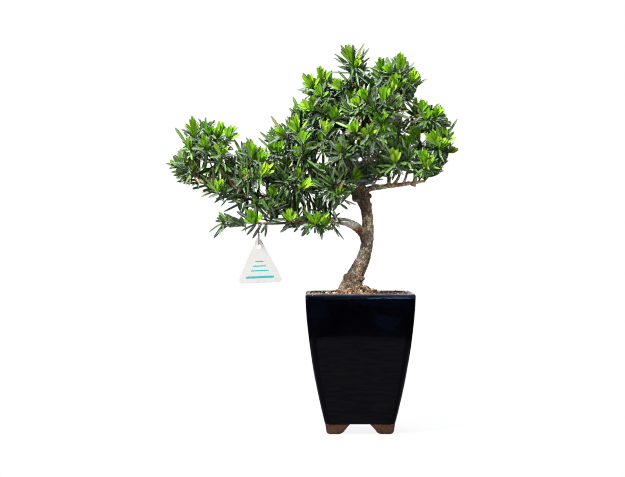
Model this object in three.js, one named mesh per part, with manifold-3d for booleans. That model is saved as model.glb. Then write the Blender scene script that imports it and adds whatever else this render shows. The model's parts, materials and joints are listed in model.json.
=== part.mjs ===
// A podocarpus trained as a bonsai: a leaning trunk with an asymmetric crown of foliage masses,
// in a tall square glazed pot on four unglazed feet, with a blank label tied to its lowest branch.
//
// Millimetres, +Z up, the front towards -Y. While it is built, X and Y are measured from the middle
// of the pot and Z from the ground. The last step moves it so that the origin lies on the ground,
// under the middle of the whole plant's bounding box.

import * as THREE from "three";
import { mergeVertices } from "three/addons/utils/BufferGeometryUtils.js";
import Module from "manifold-3d";

const wasm = await Module();
wasm.setup();

// ---- driving dimensions ----

const gap = 0.3; // clearance between neighbouring solids

const pot = {
  height: 151,
  rimHalf: 58.4, // half the width across the rim
  baseHalf: 37.6, // half the width where the walls meet the feet
  bellyPower: 1.65, // how the wall curves in towards the base
  wall: 6,
  floor: 8,
  cornerShare: 0.2, // corner radius as a share of half the width
  cornerSteps: 4,
  levels: 7,
  drainRadius: 7,
};

const foot = {
  height: 11,
  soleOuter: 35.6, // the sole's outer and inner edges, from the pot's middle
  soleInner: 19,
  topInner: 10.5,
  cornerRadius: 7.5,
};

const soil = {
  edgeBelowRim: 2.5,
  moundHalf: 30, // half the width of the level patch that the trunk stands on
  moundHeight: 155,
};

const label = {
  hole: [-109, -12, 200.6],
  holeRadius: 2.6,
  width: 49,
  height: 50.5,
  thickness: 1,
  cornerRadius: 3.5,
  holeBelowApex: 11.5,
  lean: THREE.MathUtils.degToRad(-2.5),
};

const tie = { wireRadius: 0.45, reach: 2.8, top: 228.8 };

// Limbs: a few points along each, and its radius at the start and the end.
const limbs = {
  trunk: {
    path: [[-8.5, 0, soil.moundHeight], [-7, 1, 162], [-1.5, 2, 175], [4.5, 2, 187],
      [8.6, 1, 203], [9.4, -1, 225], [7.3, -1, 242], [0, 0, 263]],
    radius: [6.4, 5.8],
    flare: { reach: 18, extra: 6 }, // the root flare, over the lowest part
    knot: { height: 258, reach: 8, extra: 3.2 }, // the swelling at the fork
    sides: 12,
    steps: 20,
  },
  leader: {
    path: [[-1, 1, 265], [-9, 4, 295], [-14, 5, 330], [-8, 2, 371]],
    radius: [5.6, 2],
  },
  right_bough: {
    path: [[4, -1, 261], [23, -6, 265], [46, -10, 267.5], [71, -9, 271.5]],
    radius: [3.1, 1.5],
  },
  left_low_bough: {
    path: [[9, -1, 212], [-2, -5, 222], [-19, -10, 227], [-41, -13, 229]],
    radius: [4.6, 3.2],
  },
  left_rising_bough: {
    path: [[-36, -12, 231.5], [-31, -8, 242], [-26, -6, 253], [-23, -8, 265]],
    radius: [1.7, 1.2],
  },
  left_long_bough: {
    path: [[-7, 2, 279], [-44, 0, 276], [-84, -4, 271], [-121, -6, 278]],
    radius: [4.4, 2.2],
  },
  low_outer_bough: {
    path: [[-42, -13, 229], [-69, -15, 227], [-96, -13, 225.5], [-125, -12, 227]],
    radius: [2.4, 1.3],
  },
  right_upper_bough: {
    path: [[-8, 4, 287], [16, 12, 298], [46, 15, 313], [71, 10, 329]],
    radius: [3.1, 1.5],
  },
  top_right_bough: {
    path: [[-13, 5, 329], [5, 6, 342], [23, 4, 357], [37, 2, 373]],
    radius: [2.5, 1.4],
  },
  left_shoulder_bough: {
    path: [[-11, 4, 303], [-34, 0, 308], [-54, -4, 315], [-71, -5, 325]],
    radius: [2.8, 1.4],
  },
  back_left_bough: {
    path: [[-11, 6, 295], [-29, 24, 303], [-47, 40, 311], [-57, 52, 321]],
    radius: [2.8, 1.4],
  },
  back_right_bough: {
    path: [[-11, 6, 299], [5, 24, 309], [25, 40, 319], [37, 50, 329]],
    radius: [2.8, 1.4],
  },
};
const limbSides = 7;
const limbSteps = 8;

// Foliage masses: each one's middle and its half sizes along X, Y and Z.
const masses = {
  apex: { middle: [-7, 0, 390], half: [21, 22, 32] },
  top_right: { middle: [39, 4, 380], half: [28, 30, 33] },
  top_left: { middle: [-41, 2, 366], half: [28, 28, 26] },
  crown_core: { middle: [-34, -14, 340], half: [31, 26, 24] },
  front_crown: { middle: [17, -38, 345], half: [36, 28, 31] },
  right_shoulder: { middle: [78, 6, 335], half: [26, 32, 27] },
  right_tip: { middle: [82, -12, 298], half: [26, 30, 28] },
  right_low: { middle: [47, -26, 290], half: [31, 28, 23] },
  left_shoulder: { middle: [-71, -6, 318], half: [32, 32, 28] },
  centre: { middle: [-13, -30, 302], half: [33, 28, 26] },
  centre_low: { middle: [-25, -22, 265], half: [28, 26, 17] },
  middle_low: { middle: [-73, -10, 268], half: [31, 32, 24] },
  left_inner: { middle: [-111, -6, 292], half: [30, 34, 29] },
  left_outer: { middle: [-168, -4, 311], half: [32, 30, 29] },
  left_tip: { middle: [-183, -6, 282], half: [26, 24, 20] },
  left_under: { middle: [-139, -8, 263], half: [34, 28, 23] },
  left_lower: { middle: [-96, -14, 244], half: [36, 24, 19] },
  low_near: { middle: [-54, -16, 228], half: [31, 25, 16] },
  low_far: { middle: [-139, -13, 226], half: [27, 20, 13] },
  back_left: { middle: [-57, 44, 317], half: [38, 30, 34] },
  back_right: { middle: [37, 44, 325], half: [40, 30, 36] },
  back_low: { middle: [-9, 38, 279], half: [44, 28, 20] },
};
const massDetail = 2; // how finely a mass's ball is divided
const lump = { depth: 0.13, waves: 4, pitch: 3 }; // unevenness of a mass
const undersideShare = 0.85; // a mass is flatter below its middle

// ---- materials ----

const finish = (color, roughness) => new THREE.MeshStandardMaterial({ color, roughness, metalness: 0 });
const glaze = finish(0x08090d, 0.12);
const clay = finish(0x4b2b22, 0.85);
const earth = finish(0x8f6544, 0.95);
const bark = finish(0x7d6a52, 0.9);
const foliage = finish(0x2f6b1c, 0.6);
const plastic = finish(0xf0f0ee, 0.45);
const wire = finish(0x3b322c, 0.6);

// ---- solids ----

// A closed three.js geometry as a solid that can be joined and cut.
function solidOf(geometry) {
  const bare = geometry.clone();
  bare.deleteAttribute("normal");
  bare.deleteAttribute("uv");
  const merged = mergeVertices(bare, 1e-3);
  return new wasm.Manifold(
    new wasm.Mesh({
      numProp: 3,
      vertProperties: new Float32Array(merged.attributes.position.array),
      triVerts: new Uint32Array(merged.index.array),
    }),
  );
}

// The largest piece of a solid, as a three.js geometry.
function geometryOf(solid) {
  const largest = solid.decompose().sort((a, b) => b.volume() - a.volume())[0];
  const mesh = largest.getMesh();
  const geometry = new THREE.BufferGeometry();
  geometry.setAttribute("position", new THREE.BufferAttribute(mesh.vertProperties, 3));
  geometry.setIndex(new THREE.BufferAttribute(mesh.triVerts, 1));
  geometry.computeVertexNormals();
  return geometry;
}

const part = new THREE.Group();

function place(name, geometry, material) {
  const mesh = new THREE.Mesh(geometry, material);
  mesh.name = name;
  part.add(mesh);
  return mesh;
}

// ---- pot, feet and soil ----

// Points round a square of half width 1 with rounded corners, anticlockwise.
function squarePoints() {
  const straight = 1 - pot.cornerShare;
  const points = [];
  for (let corner = 0; corner < 4; corner++) {
    const start = (corner * Math.PI) / 2;
    const middle = start + Math.PI / 4;
    const centre = [Math.sign(Math.cos(middle)) * straight, Math.sign(Math.sin(middle)) * straight];
    for (let k = 0; k <= pot.cornerSteps; k++) {
      const angle = start + ((Math.PI / 2) * k) / pot.cornerSteps;
      points.push([
        centre[0] + pot.cornerShare * Math.cos(angle),
        centre[1] + pot.cornerShare * Math.sin(angle),
      ]);
    }
  }
  return points;
}

// A lathed profile whose rings are rounded squares, or circles no wider than the drain hole.
function squareLathe(profile) {
  const square = squarePoints();
  const circle = square.map((_, k) => {
    const angle = Math.PI / 4 + ((k - pot.cornerSteps / 2) * Math.PI * 2) / square.length;
    return [Math.cos(angle), Math.sin(angle)];
  });
  const geometry = new THREE.LatheGeometry(profile, square.length);
  const position = geometry.attributes.position;
  for (let v = 0; v < position.count; v++) {
    const column = Math.floor(v / profile.length) % square.length;
    const ring = profile[v % profile.length];
    const [x, y] = (ring.x <= pot.drainRadius ? circle : square)[column];
    position.setXYZ(v, ring.x * x, ring.x * y, ring.y);
  }
  return geometry;
}

// Half the pot's outer width at a height above the ground.
function potHalfAt(height) {
  const fromRim = (pot.height - height) / (pot.height - foot.height);
  return pot.rimHalf - (pot.rimHalf - pot.baseHalf) * fromRim ** pot.bellyPower;
}

function wallPoints(from, to, inset) {
  const points = [];
  for (let k = 0; k <= pot.levels; k++) {
    const height = from + ((to - from) * k) / pot.levels;
    points.push(new THREE.Vector2(potHalfAt(height) - inset, height));
  }
  return points;
}

function potGeometry() {
  const floorTop = foot.height + pot.floor;
  return squareLathe([
    new THREE.Vector2(pot.drainRadius, foot.height),
    ...wallPoints(foot.height, pot.height, 0),
    ...wallPoints(pot.height, floorTop, pot.wall),
    new THREE.Vector2(pot.drainRadius, floorTop),
    new THREE.Vector2(pot.drainRadius, foot.height),
  ]);
}

function soilGeometry() {
  const floorTop = foot.height + pot.floor;
  const edge = pot.height - soil.edgeBelowRim;
  return squareLathe([
    new THREE.Vector2(0, floorTop),
    ...wallPoints(floorTop, edge, pot.wall + gap),
    new THREE.Vector2(soil.moundHalf, soil.moundHeight),
    new THREE.Vector2(0, soil.moundHeight),
  ]);
}

// One foot, under the corner towards +X and +Y: it narrows from the pot's floor to its sole.
function footGeometry() {
  const outer = pot.baseHalf;
  const round = foot.cornerRadius;
  const shape = new THREE.Shape();
  shape.moveTo(foot.topInner, foot.topInner);
  shape.lineTo(outer, foot.topInner);
  shape.lineTo(outer, outer - round);
  shape.absarc(outer - round, outer - round, round, 0, Math.PI / 2, false);
  shape.lineTo(foot.topInner, outer);
  shape.closePath();
  const geometry = new THREE.ExtrudeGeometry(shape, {
    depth: foot.height,
    bevelEnabled: false,
    curveSegments: 5,
  });
  const position = geometry.attributes.position;
  const toSole = (at) =>
    THREE.MathUtils.mapLinear(at, foot.topInner, outer, foot.soleInner, foot.soleOuter);
  for (let v = 0; v < position.count; v++) {
    if (position.getZ(v) < foot.height / 2) {
      position.setXY(v, toSole(position.getX(v)), toSole(position.getY(v)));
    }
  }
  return geometry;
}

place("pot", potGeometry(), glaze);
place("soil", soilGeometry(), earth);
["back_right", "back_left", "front_left", "front_right"].forEach((corner, k) => {
  place(`foot_${corner}`, footGeometry(), clay).rotation.z = (k * Math.PI) / 2;
});

// ---- limbs ----

// The radius of a limb at a share of its length: a taper, with the trunk's flare and knot.
function limbRadius(limb, share, height) {
  let radius = THREE.MathUtils.lerp(limb.radius[0], limb.radius[1], share);
  if (limb.flare) {
    radius += limb.flare.extra * Math.exp(-(height - soil.moundHeight) / limb.flare.reach);
  }
  if (limb.knot) {
    radius += limb.knot.extra * Math.exp(-(((height - limb.knot.height) / limb.knot.reach) ** 2));
  }
  return radius;
}

// A cylinder bent along the limb's curve, made thicker all over by the extra amount.
function limbGeometry(limb, extra = 0) {
  const steps = limb.steps ?? limbSteps;
  const curve = new THREE.CatmullRomCurve3(limb.path.map((point) => new THREE.Vector3(...point)));
  const frames = curve.computeFrenetFrames(steps);
  const geometry = new THREE.CylinderGeometry(1, 1, 1, limb.sides ?? limbSides, steps);
  const position = geometry.attributes.position;
  for (let v = 0; v < position.count; v++) {
    const share = position.getY(v) + 0.5;
    const ring = Math.round(share * steps);
    const centre = curve.getPointAt(ring / steps);
    const radius = limbRadius(limb, share, centre.z) + extra;
    const point = centre
      .addScaledVector(frames.binormals[ring], position.getX(v) * radius)
      .addScaledVector(frames.normals[ring], position.getZ(v) * radius);
    if (limb.flare && ring === 0) point.z = limb.path[0][2]; // the flat cut on the soil
    position.setXYZ(v, point.x, point.y, point.z);
  }
  return geometry;
}

// ---- foliage masses ----

// A smooth unevenness over directions, from -1 to 1, different for each seed.
function unevenness(direction, seed) {
  let sum = 0;
  for (let k = 0; k < lump.waves; k++) {
    const turn = seed * 2.399 + k * 1.7;
    const axis = new THREE.Vector3(Math.sin(turn), Math.cos(turn * 1.3), Math.sin(turn * 0.7 + 1));
    sum += Math.sin(direction.dot(axis.normalize()) * (lump.pitch + k) + turn);
  }
  return sum / lump.waves;
}

function massGeometry(mass, seed) {
  const geometry = new THREE.IcosahedronGeometry(1, massDetail);
  const position = geometry.attributes.position;
  const direction = new THREE.Vector3();
  for (let v = 0; v < position.count; v++) {
    direction.fromBufferAttribute(position, v).normalize();
    const reach = 1 + lump.depth * unevenness(direction, seed);
    const below = direction.z < 0 ? undersideShare : 1;
    position.setXYZ(
      v,
      mass.middle[0] + mass.half[0] * reach * direction.x,
      mass.middle[1] + mass.half[1] * reach * direction.y,
      mass.middle[2] + mass.half[2] * reach * below * direction.z,
    );
  }
  return geometry;
}

// How far a mass reaches from its middle along a direction.
function reachAlong(mass, direction) {
  const [x, y, z] = mass.half;
  return 1 / Math.hypot(direction.x / x, direction.y / y, direction.z / z);
}

// Cuts two overlapping masses apart along one plane between their middles.
function partMasses(solids, nameA, nameB) {
  const a = new THREE.Vector3(...masses[nameA].middle);
  const b = new THREE.Vector3(...masses[nameB].middle);
  const way = b.clone().sub(a);
  const distance = way.length();
  way.normalize();
  const reachA = reachAlong(masses[nameA], way);
  const reachB = reachAlong(masses[nameB], way);
  const cut = a.dot(way) + (distance * reachA) / (reachA + reachB);
  const back = way.clone().negate();
  solids.set(nameA, solids.get(nameA).trimByPlane(back.toArray(), -cut + gap / 2));
  solids.set(nameB, solids.get(nameB).trimByPlane(way.toArray(), cut + gap / 2));
}

// ---- label and its tie ----

// A triangle with rounded corners and a hole near its apex, hanging from the hole's middle.
function labelGeometry() {
  const half = label.width / 2;
  const top = label.holeBelowApex;
  const corners = [
    new THREE.Vector2(-half, top - label.height),
    new THREE.Vector2(half, top - label.height),
    new THREE.Vector2(0, top),
  ];
  const shape = new THREE.Shape();
  corners.forEach((corner, k) => {
    const towards = (other) => other.clone().sub(corner).setLength(label.cornerRadius).add(corner);
    const before = towards(corners[(k + 2) % 3]);
    const after = towards(corners[(k + 1) % 3]);
    if (k === 0) shape.moveTo(before.x, before.y);
    else shape.lineTo(before.x, before.y);
    shape.quadraticCurveTo(corner.x, corner.y, after.x, after.y);
  });
  shape.closePath();
  const hole = new THREE.Path();
  hole.absarc(0, 0, label.holeRadius, 0, Math.PI * 2, true);
  shape.holes.push(hole);
  const geometry = new THREE.ExtrudeGeometry(shape, {
    depth: label.thickness,
    bevelEnabled: false,
    curveSegments: 6,
  });
  return geometry
    .translate(0, 0, -label.thickness / 2)
    .rotateX(Math.PI / 2)
    .rotateY(label.lean)
    .translate(...label.hole);
}

// A ring of wire, pulled apart into a tall loop: through the label's hole and over the branch.
function tieGeometry(extra = 0) {
  const geometry = new THREE.TorusGeometry(tie.reach, tie.wireRadius + extra, 5, 20);
  const bottom = label.hole[2] + label.holeRadius - gap - tie.wireRadius;
  const middle = (tie.top + bottom) / 2;
  const pull = (tie.top - bottom) / 2 - tie.reach;
  const position = geometry.attributes.position;
  for (let v = 0; v < position.count; v++) {
    const half = Math.sign(Math.round(position.getY(v))); // 1 above the middle, -1 below it
    const up = position.getY(v) + half * pull;
    position.setXYZ(
      v,
      label.hole[0] + position.getZ(v),
      label.hole[1] + position.getX(v),
      middle + up,
    );
  }
  return geometry;
}

// ---- assembly ----

const massSolids = new Map(
  Object.entries(masses).map(([name, mass], k) => [name, solidOf(massGeometry(mass, k + 1))]),
);
const massNames = [...massSolids.keys()];
massNames.forEach((nameA, k) => {
  for (const nameB of massNames.slice(k + 1)) {
    const shared = massSolids.get(nameA).intersect(massSolids.get(nameB)).volume();
    if (shared > 0) partMasses(massSolids, nameA, nameB);
  }
});

// The trunk, the leader, the bare right bough and the wire stay whole: masses are cut round them.
const wholeLimbs = ["trunk", "leader", "right_bough"];
const round = wholeLimbs.map((name) => solidOf(limbGeometry(limbs[name], gap)));
round.push(solidOf(tieGeometry(gap)));
for (const name of massNames) {
  const cut = round.reduce((solid, tool) => solid.subtract(tool), massSolids.get(name));
  place(name, geometryOf(cut), foliage);
}

// Each limb is cut back from the limbs before it, and all but the whole ones end at the masses.
const limbTools = [];
for (const [name, limb] of Object.entries(limbs)) {
  let solid = limbTools.reduce((left, tool) => left.subtract(tool), solidOf(limbGeometry(limb)));
  if (!wholeLimbs.includes(name)) {
    for (const mass of massNames) solid = solid.subtract(massSolids.get(mass));
  }
  limbTools.push(solidOf(limbGeometry(limb, gap)));
  place(name, geometryOf(solid), bark);
}

place("label", labelGeometry(), plastic);
place("label_tie", tieGeometry(), wire);

// The origin: on the ground, under the middle of the bounding box.
const middle = new THREE.Box3().setFromObject(part).getCenter(new THREE.Vector3());
part.position.set(-middle.x, -middle.y, 0);

export default part;
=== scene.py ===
# A podocarpus bonsai in a tall black glazed pot: pot, soil, bark, twigs and leaves around the CAD frame.
# Lengths in the dictionaries are millimetres, measured from the middle of the pot at ground level.

import math

import bpy
import numpy as np
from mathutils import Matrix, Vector, noise
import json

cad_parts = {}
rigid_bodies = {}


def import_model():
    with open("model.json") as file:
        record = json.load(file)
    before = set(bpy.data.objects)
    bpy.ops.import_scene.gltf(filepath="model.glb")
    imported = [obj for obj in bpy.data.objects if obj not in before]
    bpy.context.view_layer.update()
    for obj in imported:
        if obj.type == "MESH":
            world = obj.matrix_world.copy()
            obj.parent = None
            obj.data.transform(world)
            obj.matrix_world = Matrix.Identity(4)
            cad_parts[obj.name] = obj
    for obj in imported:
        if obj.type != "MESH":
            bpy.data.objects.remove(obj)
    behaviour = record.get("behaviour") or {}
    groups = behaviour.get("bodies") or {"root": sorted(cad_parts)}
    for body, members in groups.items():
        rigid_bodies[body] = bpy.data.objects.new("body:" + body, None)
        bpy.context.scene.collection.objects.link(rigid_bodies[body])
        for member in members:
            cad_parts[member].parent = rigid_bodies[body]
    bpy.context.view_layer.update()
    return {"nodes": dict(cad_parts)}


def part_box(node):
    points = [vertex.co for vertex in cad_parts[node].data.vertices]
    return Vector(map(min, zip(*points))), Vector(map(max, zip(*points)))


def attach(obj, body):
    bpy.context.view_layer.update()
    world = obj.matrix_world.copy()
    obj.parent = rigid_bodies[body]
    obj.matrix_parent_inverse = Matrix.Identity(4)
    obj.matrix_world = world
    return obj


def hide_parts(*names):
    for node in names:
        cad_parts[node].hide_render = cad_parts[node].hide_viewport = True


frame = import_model()

mm = 0.001
black = (0, 0, 0)
white = (1, 1, 1)
up = np.array([0.0, 0.0, 1.0])
potLow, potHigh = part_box("pot")
potMiddle = np.array([(potLow.x + potHigh.x) / 2, (potLow.y + potHigh.y) / 2, 0.0])
draw = np.random.default_rng(23)  # every random draw comes from here, in a fixed order
print("frame loaded, pot middle at", potMiddle.round(4))


def toFrame(points):
    # from millimetres round the pot to the frame's metres
    return np.asarray(points, float) * mm + potMiddle


def fromFrame(points):
    return (np.array(points) - potMiddle) / mm


def unit(v):
    v = np.asarray(v, float)
    return v / np.maximum(np.linalg.norm(v, axis=-1, keepdims=True), 1e-9)


def named(rows, *columns):
    # gives each row of a table its columns' names
    return {name: dict(zip(columns, row)) for name, row in rows.items()}


def noiseAt(points, size, shift=0.0):
    # smooth noise from -1 to 1 at points in millimetres
    return np.array([noise.noise(Vector(p) / size + Vector((shift, shift, shift))) for p in points])


def wayAlong(path):
    # how far each point of a path is from its start
    return np.concatenate([[0], np.cumsum(np.linalg.norm(np.diff(path, axis=0), axis=1))])


def pointsAt(path, distances):
    way = wayAlong(path)
    return np.stack([np.interp(distances, way, path[:, k]) for k in range(3)], 1)


def smoothPath(points, steps, between=24):
    # a rounded curve through the points, as evenly spaced points
    points = np.asarray(points, float)
    ends = np.vstack([2 * points[0] - points[1], points, 2 * points[-1] - points[-2]])
    fine = []
    for a, b, c, d in zip(ends, ends[1:], ends[2:], ends[3:]):
        for t in np.linspace(0, 1, between, endpoint=False):
            fine.append(0.5 * (2 * b + (c - a) * t + (2 * a - 5 * b + 4 * c - d) * t**2
                               + (3 * b - a - 3 * c + d) * t**3))
    fine = np.array(fine + [points[-1]])
    return pointsAt(fine, np.linspace(0, wayAlong(fine)[-1], steps))


def ringFrames(path):
    # two side vectors at each point of a path, without twist
    along = unit(np.gradient(path, axis=0))
    side = unit(np.cross(along[0], [0.31, 0.92, 0.24]))  # a direction that no limb follows
    sides = []
    for way in along:
        side = unit(side - way * np.dot(side, way))
        sides.append(side)
    sides = np.array(sides)
    return sides, np.cross(along, sides)


def turnsRound(count):
    return np.arange(count) * 2 * math.pi / count


def ringFaces(rows, count, closed=False, first=0):
    # the faces between rows of points; closed joins the last row to the first one
    faces = []
    for row in range(rows if closed else rows - 1):
        low = first + row * count
        high = first + (row + 1) % rows * count
        for k in range(count):
            right = (k + 1) % count
            faces.append([low + k, low + right, high + right, high + k])
    return faces


def endCaps(rows, count):
    return [list(range(count))[::-1], list(range((rows - 1) * count, rows * count))]


def tube(path, radii, around):
    # points and faces of a closed tube; radii is one number a ring, or one for each point of it
    sideA, sideB = ringFrames(path)
    turn = turnsRound(around)
    radii = np.asarray(radii, float)
    radii = radii[:, None] if radii.ndim == 1 else radii
    offsets = (np.cos(turn)[None, :, None] * sideA[:, None] + np.sin(turn)[None, :, None] * sideB[:, None])
    points = (path[:, None] + offsets * radii[..., None]).reshape(-1, 3)
    return points, endCaps(len(path), around) + ringFaces(len(path), around)


def joinTubes(tubes):
    points = []
    faces = []
    start = 0
    for tubePoints, tubeFaces in tubes:
        points.append(tubePoints)
        faces += [[v + start for v in face] for face in tubeFaces]
        start += len(tubePoints)
    return np.vstack(points), faces


def makeObject(name, mesh, materials, smooth=True):
    for material in materials:
        mesh.materials.append(material)
    mesh.polygons.foreach_set("use_smooth", [smooth] * len(mesh.polygons))
    piece = bpy.data.objects.new(name, mesh)
    bpy.context.scene.collection.objects.link(piece)
    return piece


def meshFromLists(name, points, faces, materials, paint=None, smooth=True):
    mesh = bpy.data.meshes.new(name)
    mesh.from_pydata(toFrame(points).tolist(), [], faces)
    piece = makeObject(name, mesh, materials, smooth)
    if paint is not None:
        mesh.polygons.foreach_set("material_index", paint)
    mesh.update()
    return piece


def meshFromArrays(name, points, faces, paint, materials, smooth=True):
    # faces all have the same number of corners, so this stays quick for many thousands
    mesh = bpy.data.meshes.new(name)
    mesh.vertices.add(len(points))
    mesh.vertices.foreach_set("co", toFrame(points).astype(np.float32).ravel())
    mesh.loops.add(faces.size)
    mesh.loops.foreach_set("vertex_index", faces.astype(np.int32).ravel())
    mesh.polygons.add(len(faces))
    mesh.polygons.foreach_set("loop_start", np.arange(len(faces), dtype=np.int32) * faces.shape[1])
    mesh.update(calc_edges=True)
    piece = makeObject(name, mesh, materials, smooth)
    mesh.polygons.foreach_set("material_index", paint.astype(np.int32))
    mesh.update()
    return piece


def plainMaterial(name, **inputs):
    material = bpy.data.materials.new(name)
    material.use_nodes = True
    shader = material.node_tree.nodes["Principled BSDF"]
    for key, value in inputs.items():
        shader.inputs[key.replace("_", " ")].default_value = value
    material.diffuse_color = shader.inputs["Base Color"].default_value
    return material


class NodeSheet:
    # a node tree, with short ways to add and join its nodes
    def __init__(self, tree):
        self.tree = tree

    def node(self, kind, **values):
        node = self.tree.nodes.new(kind)
        for key, value in values.items():
            if hasattr(node, key):
                setattr(node, key, value)
            else:
                node.inputs[key].default_value = value
        return node

    def join(self, source, socket):
        # joins a socket, or sets a number or a colour there
        if isinstance(source, bpy.types.NodeSocket):
            self.tree.links.new(source, socket)
        else:
            socket.default_value = (*source, 1) if socket.type == "RGBA" else source

    def feed(self, node, *sources):
        for source, socket in zip(sources, node.inputs):
            self.join(source, socket)
        return node

    def math(self, operation, *numbers):
        return self.feed(self.node("ShaderNodeMath", operation=operation), *numbers).outputs[0]

    def vector(self, operation, *places):
        return self.feed(self.node("ShaderNodeVectorMath", operation=operation), *places).outputs["Vector"]

    def length(self, place):
        return self.feed(self.node("ShaderNodeVectorMath", operation="LENGTH"), place).outputs["Value"]

    def axis(self, place, letter):
        return self.feed(self.node("ShaderNodeSeparateXYZ"), place).outputs[letter]

    def span(self, value, start, end, low=0.0, high=1.0):
        # the stretch from start to end becomes low to high, and stays there beyond it
        return self.feed(self.node("ShaderNodeMapRange"), value, start, end, low, high).outputs["Result"]

    def blend(self, share, first, second):
        # mixes numbers, as mix does colours
        node = self.node("ShaderNodeMix")
        for source, k in ((share, 0), (first, 2), (second, 3)):
            self.join(source, node.inputs[k])
        return node.outputs[0]

    def mix(self, share, first, second, blend="MIX"):
        node = self.node("ShaderNodeMix", data_type="RGBA", blend_type=blend)
        for source, k in ((share, 0), (first, 6), (second, 7)):
            self.join(source, node.inputs[k])
        return node.outputs[2]

    def ramp(self, source, *stops):
        node = self.feed(self.node("ShaderNodeValToRGB"), source)
        elements = node.color_ramp.elements
        while len(elements) < len(stops):
            elements.new(0.5)
        for element, (place, color) in zip(elements, stops):
            element.position = place
            element.color = (*color, 1)
        return node.outputs["Color"]


patchEdge = (1.55, 1.15)  # where a patch ends and where it is full, with the ragged noise added


class Finish(NodeSheet):
    # a patterned material
    def __init__(self, name, **inputs):
        self.material = plainMaterial(name, **inputs)
        super().__init__(self.material.node_tree)
        self.shader = self.tree.nodes["Principled BSDF"]
        self.coords = self.node("ShaderNodeTexCoord").outputs["Object"]

    def noise(self, scale, detail=4.0, stretch=(1, 1, 1), rough=0.6):
        place = self.feed(self.node("ShaderNodeMapping", Scale=stretch), self.coords)
        texture = self.node("ShaderNodeTexNoise", Scale=scale, Detail=detail, Roughness=rough)
        return self.feed(texture, place.outputs["Vector"]).outputs["Fac"]

    def patches(self, ragged, base, patches, blend="MIX"):
        # lays each patch's colour over the base, or tints it, inside an egg with a ragged edge
        for place, reach, color, strength in patches:
            away = self.vector("SUBTRACT", self.coords, toFrame(place))
            away = self.length(self.vector("DIVIDE", away, np.array(reach) * mm))
            inside = self.span(self.math("ADD", away, ragged), *patchEdge)
            base = self.mix(self.math("MULTIPLY", inside, strength), base, color, blend)
        return base

    def color(self, source):
        self.join(source, self.shader.inputs["Base Color"])

    def bump(self, height, strength, distance):
        node = self.node("ShaderNodeBump", Strength=strength, Distance=distance * mm)
        self.join(height, node.inputs["Height"])
        self.join(node.outputs["Normal"], self.shader.inputs["Normal"])


view = {"cameraX": -50.9, "distance": 1750, "height": 209.4, "lens": 92.5}

camera = bpy.data.objects.new("camera", bpy.data.cameras.new("camera"))
camera.data.lens = view["lens"]
camera.data.sensor_width = 36
camera.location = toFrame((view["cameraX"], -view["distance"], view["height"]))
camera.rotation_euler = (math.pi / 2, 0, 0)
bpy.context.scene.collection.objects.link(camera)
bpy.context.scene.camera = camera
bpy.context.scene.view_settings.view_transform = "Standard"
bpy.context.scene.cycles.filter_width = 1.0  # small leaves stay crisp

lampAim = (-40, 0, 250)
lamps = named({
    "keyLamp": ((-800, -1100, 1500), 240, 64, (1.0, 0.985, 0.95)),
    "fillLamp": ((1300, -1100, 600), 900, 10, (0.92, 0.96, 1.0)),
    "topLamp": ((150, 250, 1700), 700, 18, (0.95, 0.98, 1.0)),
    "backLamp": ((-200, 1600, 900), 1200, 9, (1.0, 1.0, 1.0)),
}, "place", "size", "watts", "color")
for name, lamp in lamps.items():
    light = bpy.data.lights.new(name, "AREA")
    light.size = lamp["size"] * mm
    light.energy = lamp["watts"]
    light.color = lamp["color"]
    holder = bpy.data.objects.new(name, light)
    holder.location = toFrame(lamp["place"])
    aim = Vector(toFrame(lampAim)) - holder.location
    holder.rotation_euler = aim.to_track_quat("-Z", "Y").to_euler()
    bpy.context.scene.collection.objects.link(holder)

# how bright the room looks, how its upper and lower halves light, and the slopes between which they meet
room = {"seen": 1.0, "sky": 0.27, "below": 0.13, "horizon": (-0.02, 0.06)}


def makeRoom():
    world = bpy.data.worlds.new("room")
    bpy.context.scene.world = world
    world.use_nodes = True
    world.node_tree.nodes.clear()
    sheet = NodeSheet(world.node_tree)
    height = sheet.axis(sheet.node("ShaderNodeTexCoord").outputs["Generated"], "Z")
    light = sheet.span(height, *room["horizon"], room["below"], room["sky"])
    seen = sheet.node("ShaderNodeLightPath").outputs["Is Camera Ray"]
    back = sheet.node("ShaderNodeBackground", Color=(1, 1, 1, 1))
    sheet.join(sheet.blend(seen, light, room["seen"]), back.inputs["Strength"])
    sheet.join(back.outputs[0], sheet.node("ShaderNodeOutputWorld").inputs["Surface"])


floorShape = {
    "radius": 400,
    "shift": -20,
    "rings": 6,
    "around": 96,
    "color": (0.93, 0.93, 0.93),
    "roughness": 0.9,
    "specular": 0.1,
    "glow": 0.88,
    "fade": (0.5, 0.92),  # shares of the radius between which it fades into the white of the room
}


def makeFloor():
    f = floorShape
    radii = np.linspace(0, f["radius"], f["rings"] + 1)[1:]
    count = f["around"]
    points = [(0, 0, 0)]
    points += [(r * math.cos(a) + f["shift"], r * math.sin(a), 0) for r in radii for a in turnsRound(count)]
    faces = [[0, 1 + k, 1 + (k + 1) % count] for k in range(count)]
    faces += [[a, d, c, b] for a, b, c, d in ringFaces(len(radii), count, first=1)]
    pale = Finish("paleFloor", Base_Color=(*f["color"], 1), Roughness=f["roughness"],
                  Specular_IOR_Level=f["specular"])
    start, end = [share * f["radius"] * mm for share in f["fade"]]
    fade = pale.span(pale.length(pale.coords), start, end, f["glow"])
    glow = pale.node("ShaderNodeEmission", Strength=1.0)
    blend = pale.feed(pale.node("ShaderNodeMixShader"), fade, pale.shader.outputs[0], glow.outputs[0])
    pale.join(blend.outputs[0], pale.tree.nodes["Material Output"].inputs["Surface"])
    floor = meshFromLists("floor", points, faces, [pale.material])


makeRoom()
makeFloor()
print("camera, lamps and floor ready")


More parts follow.
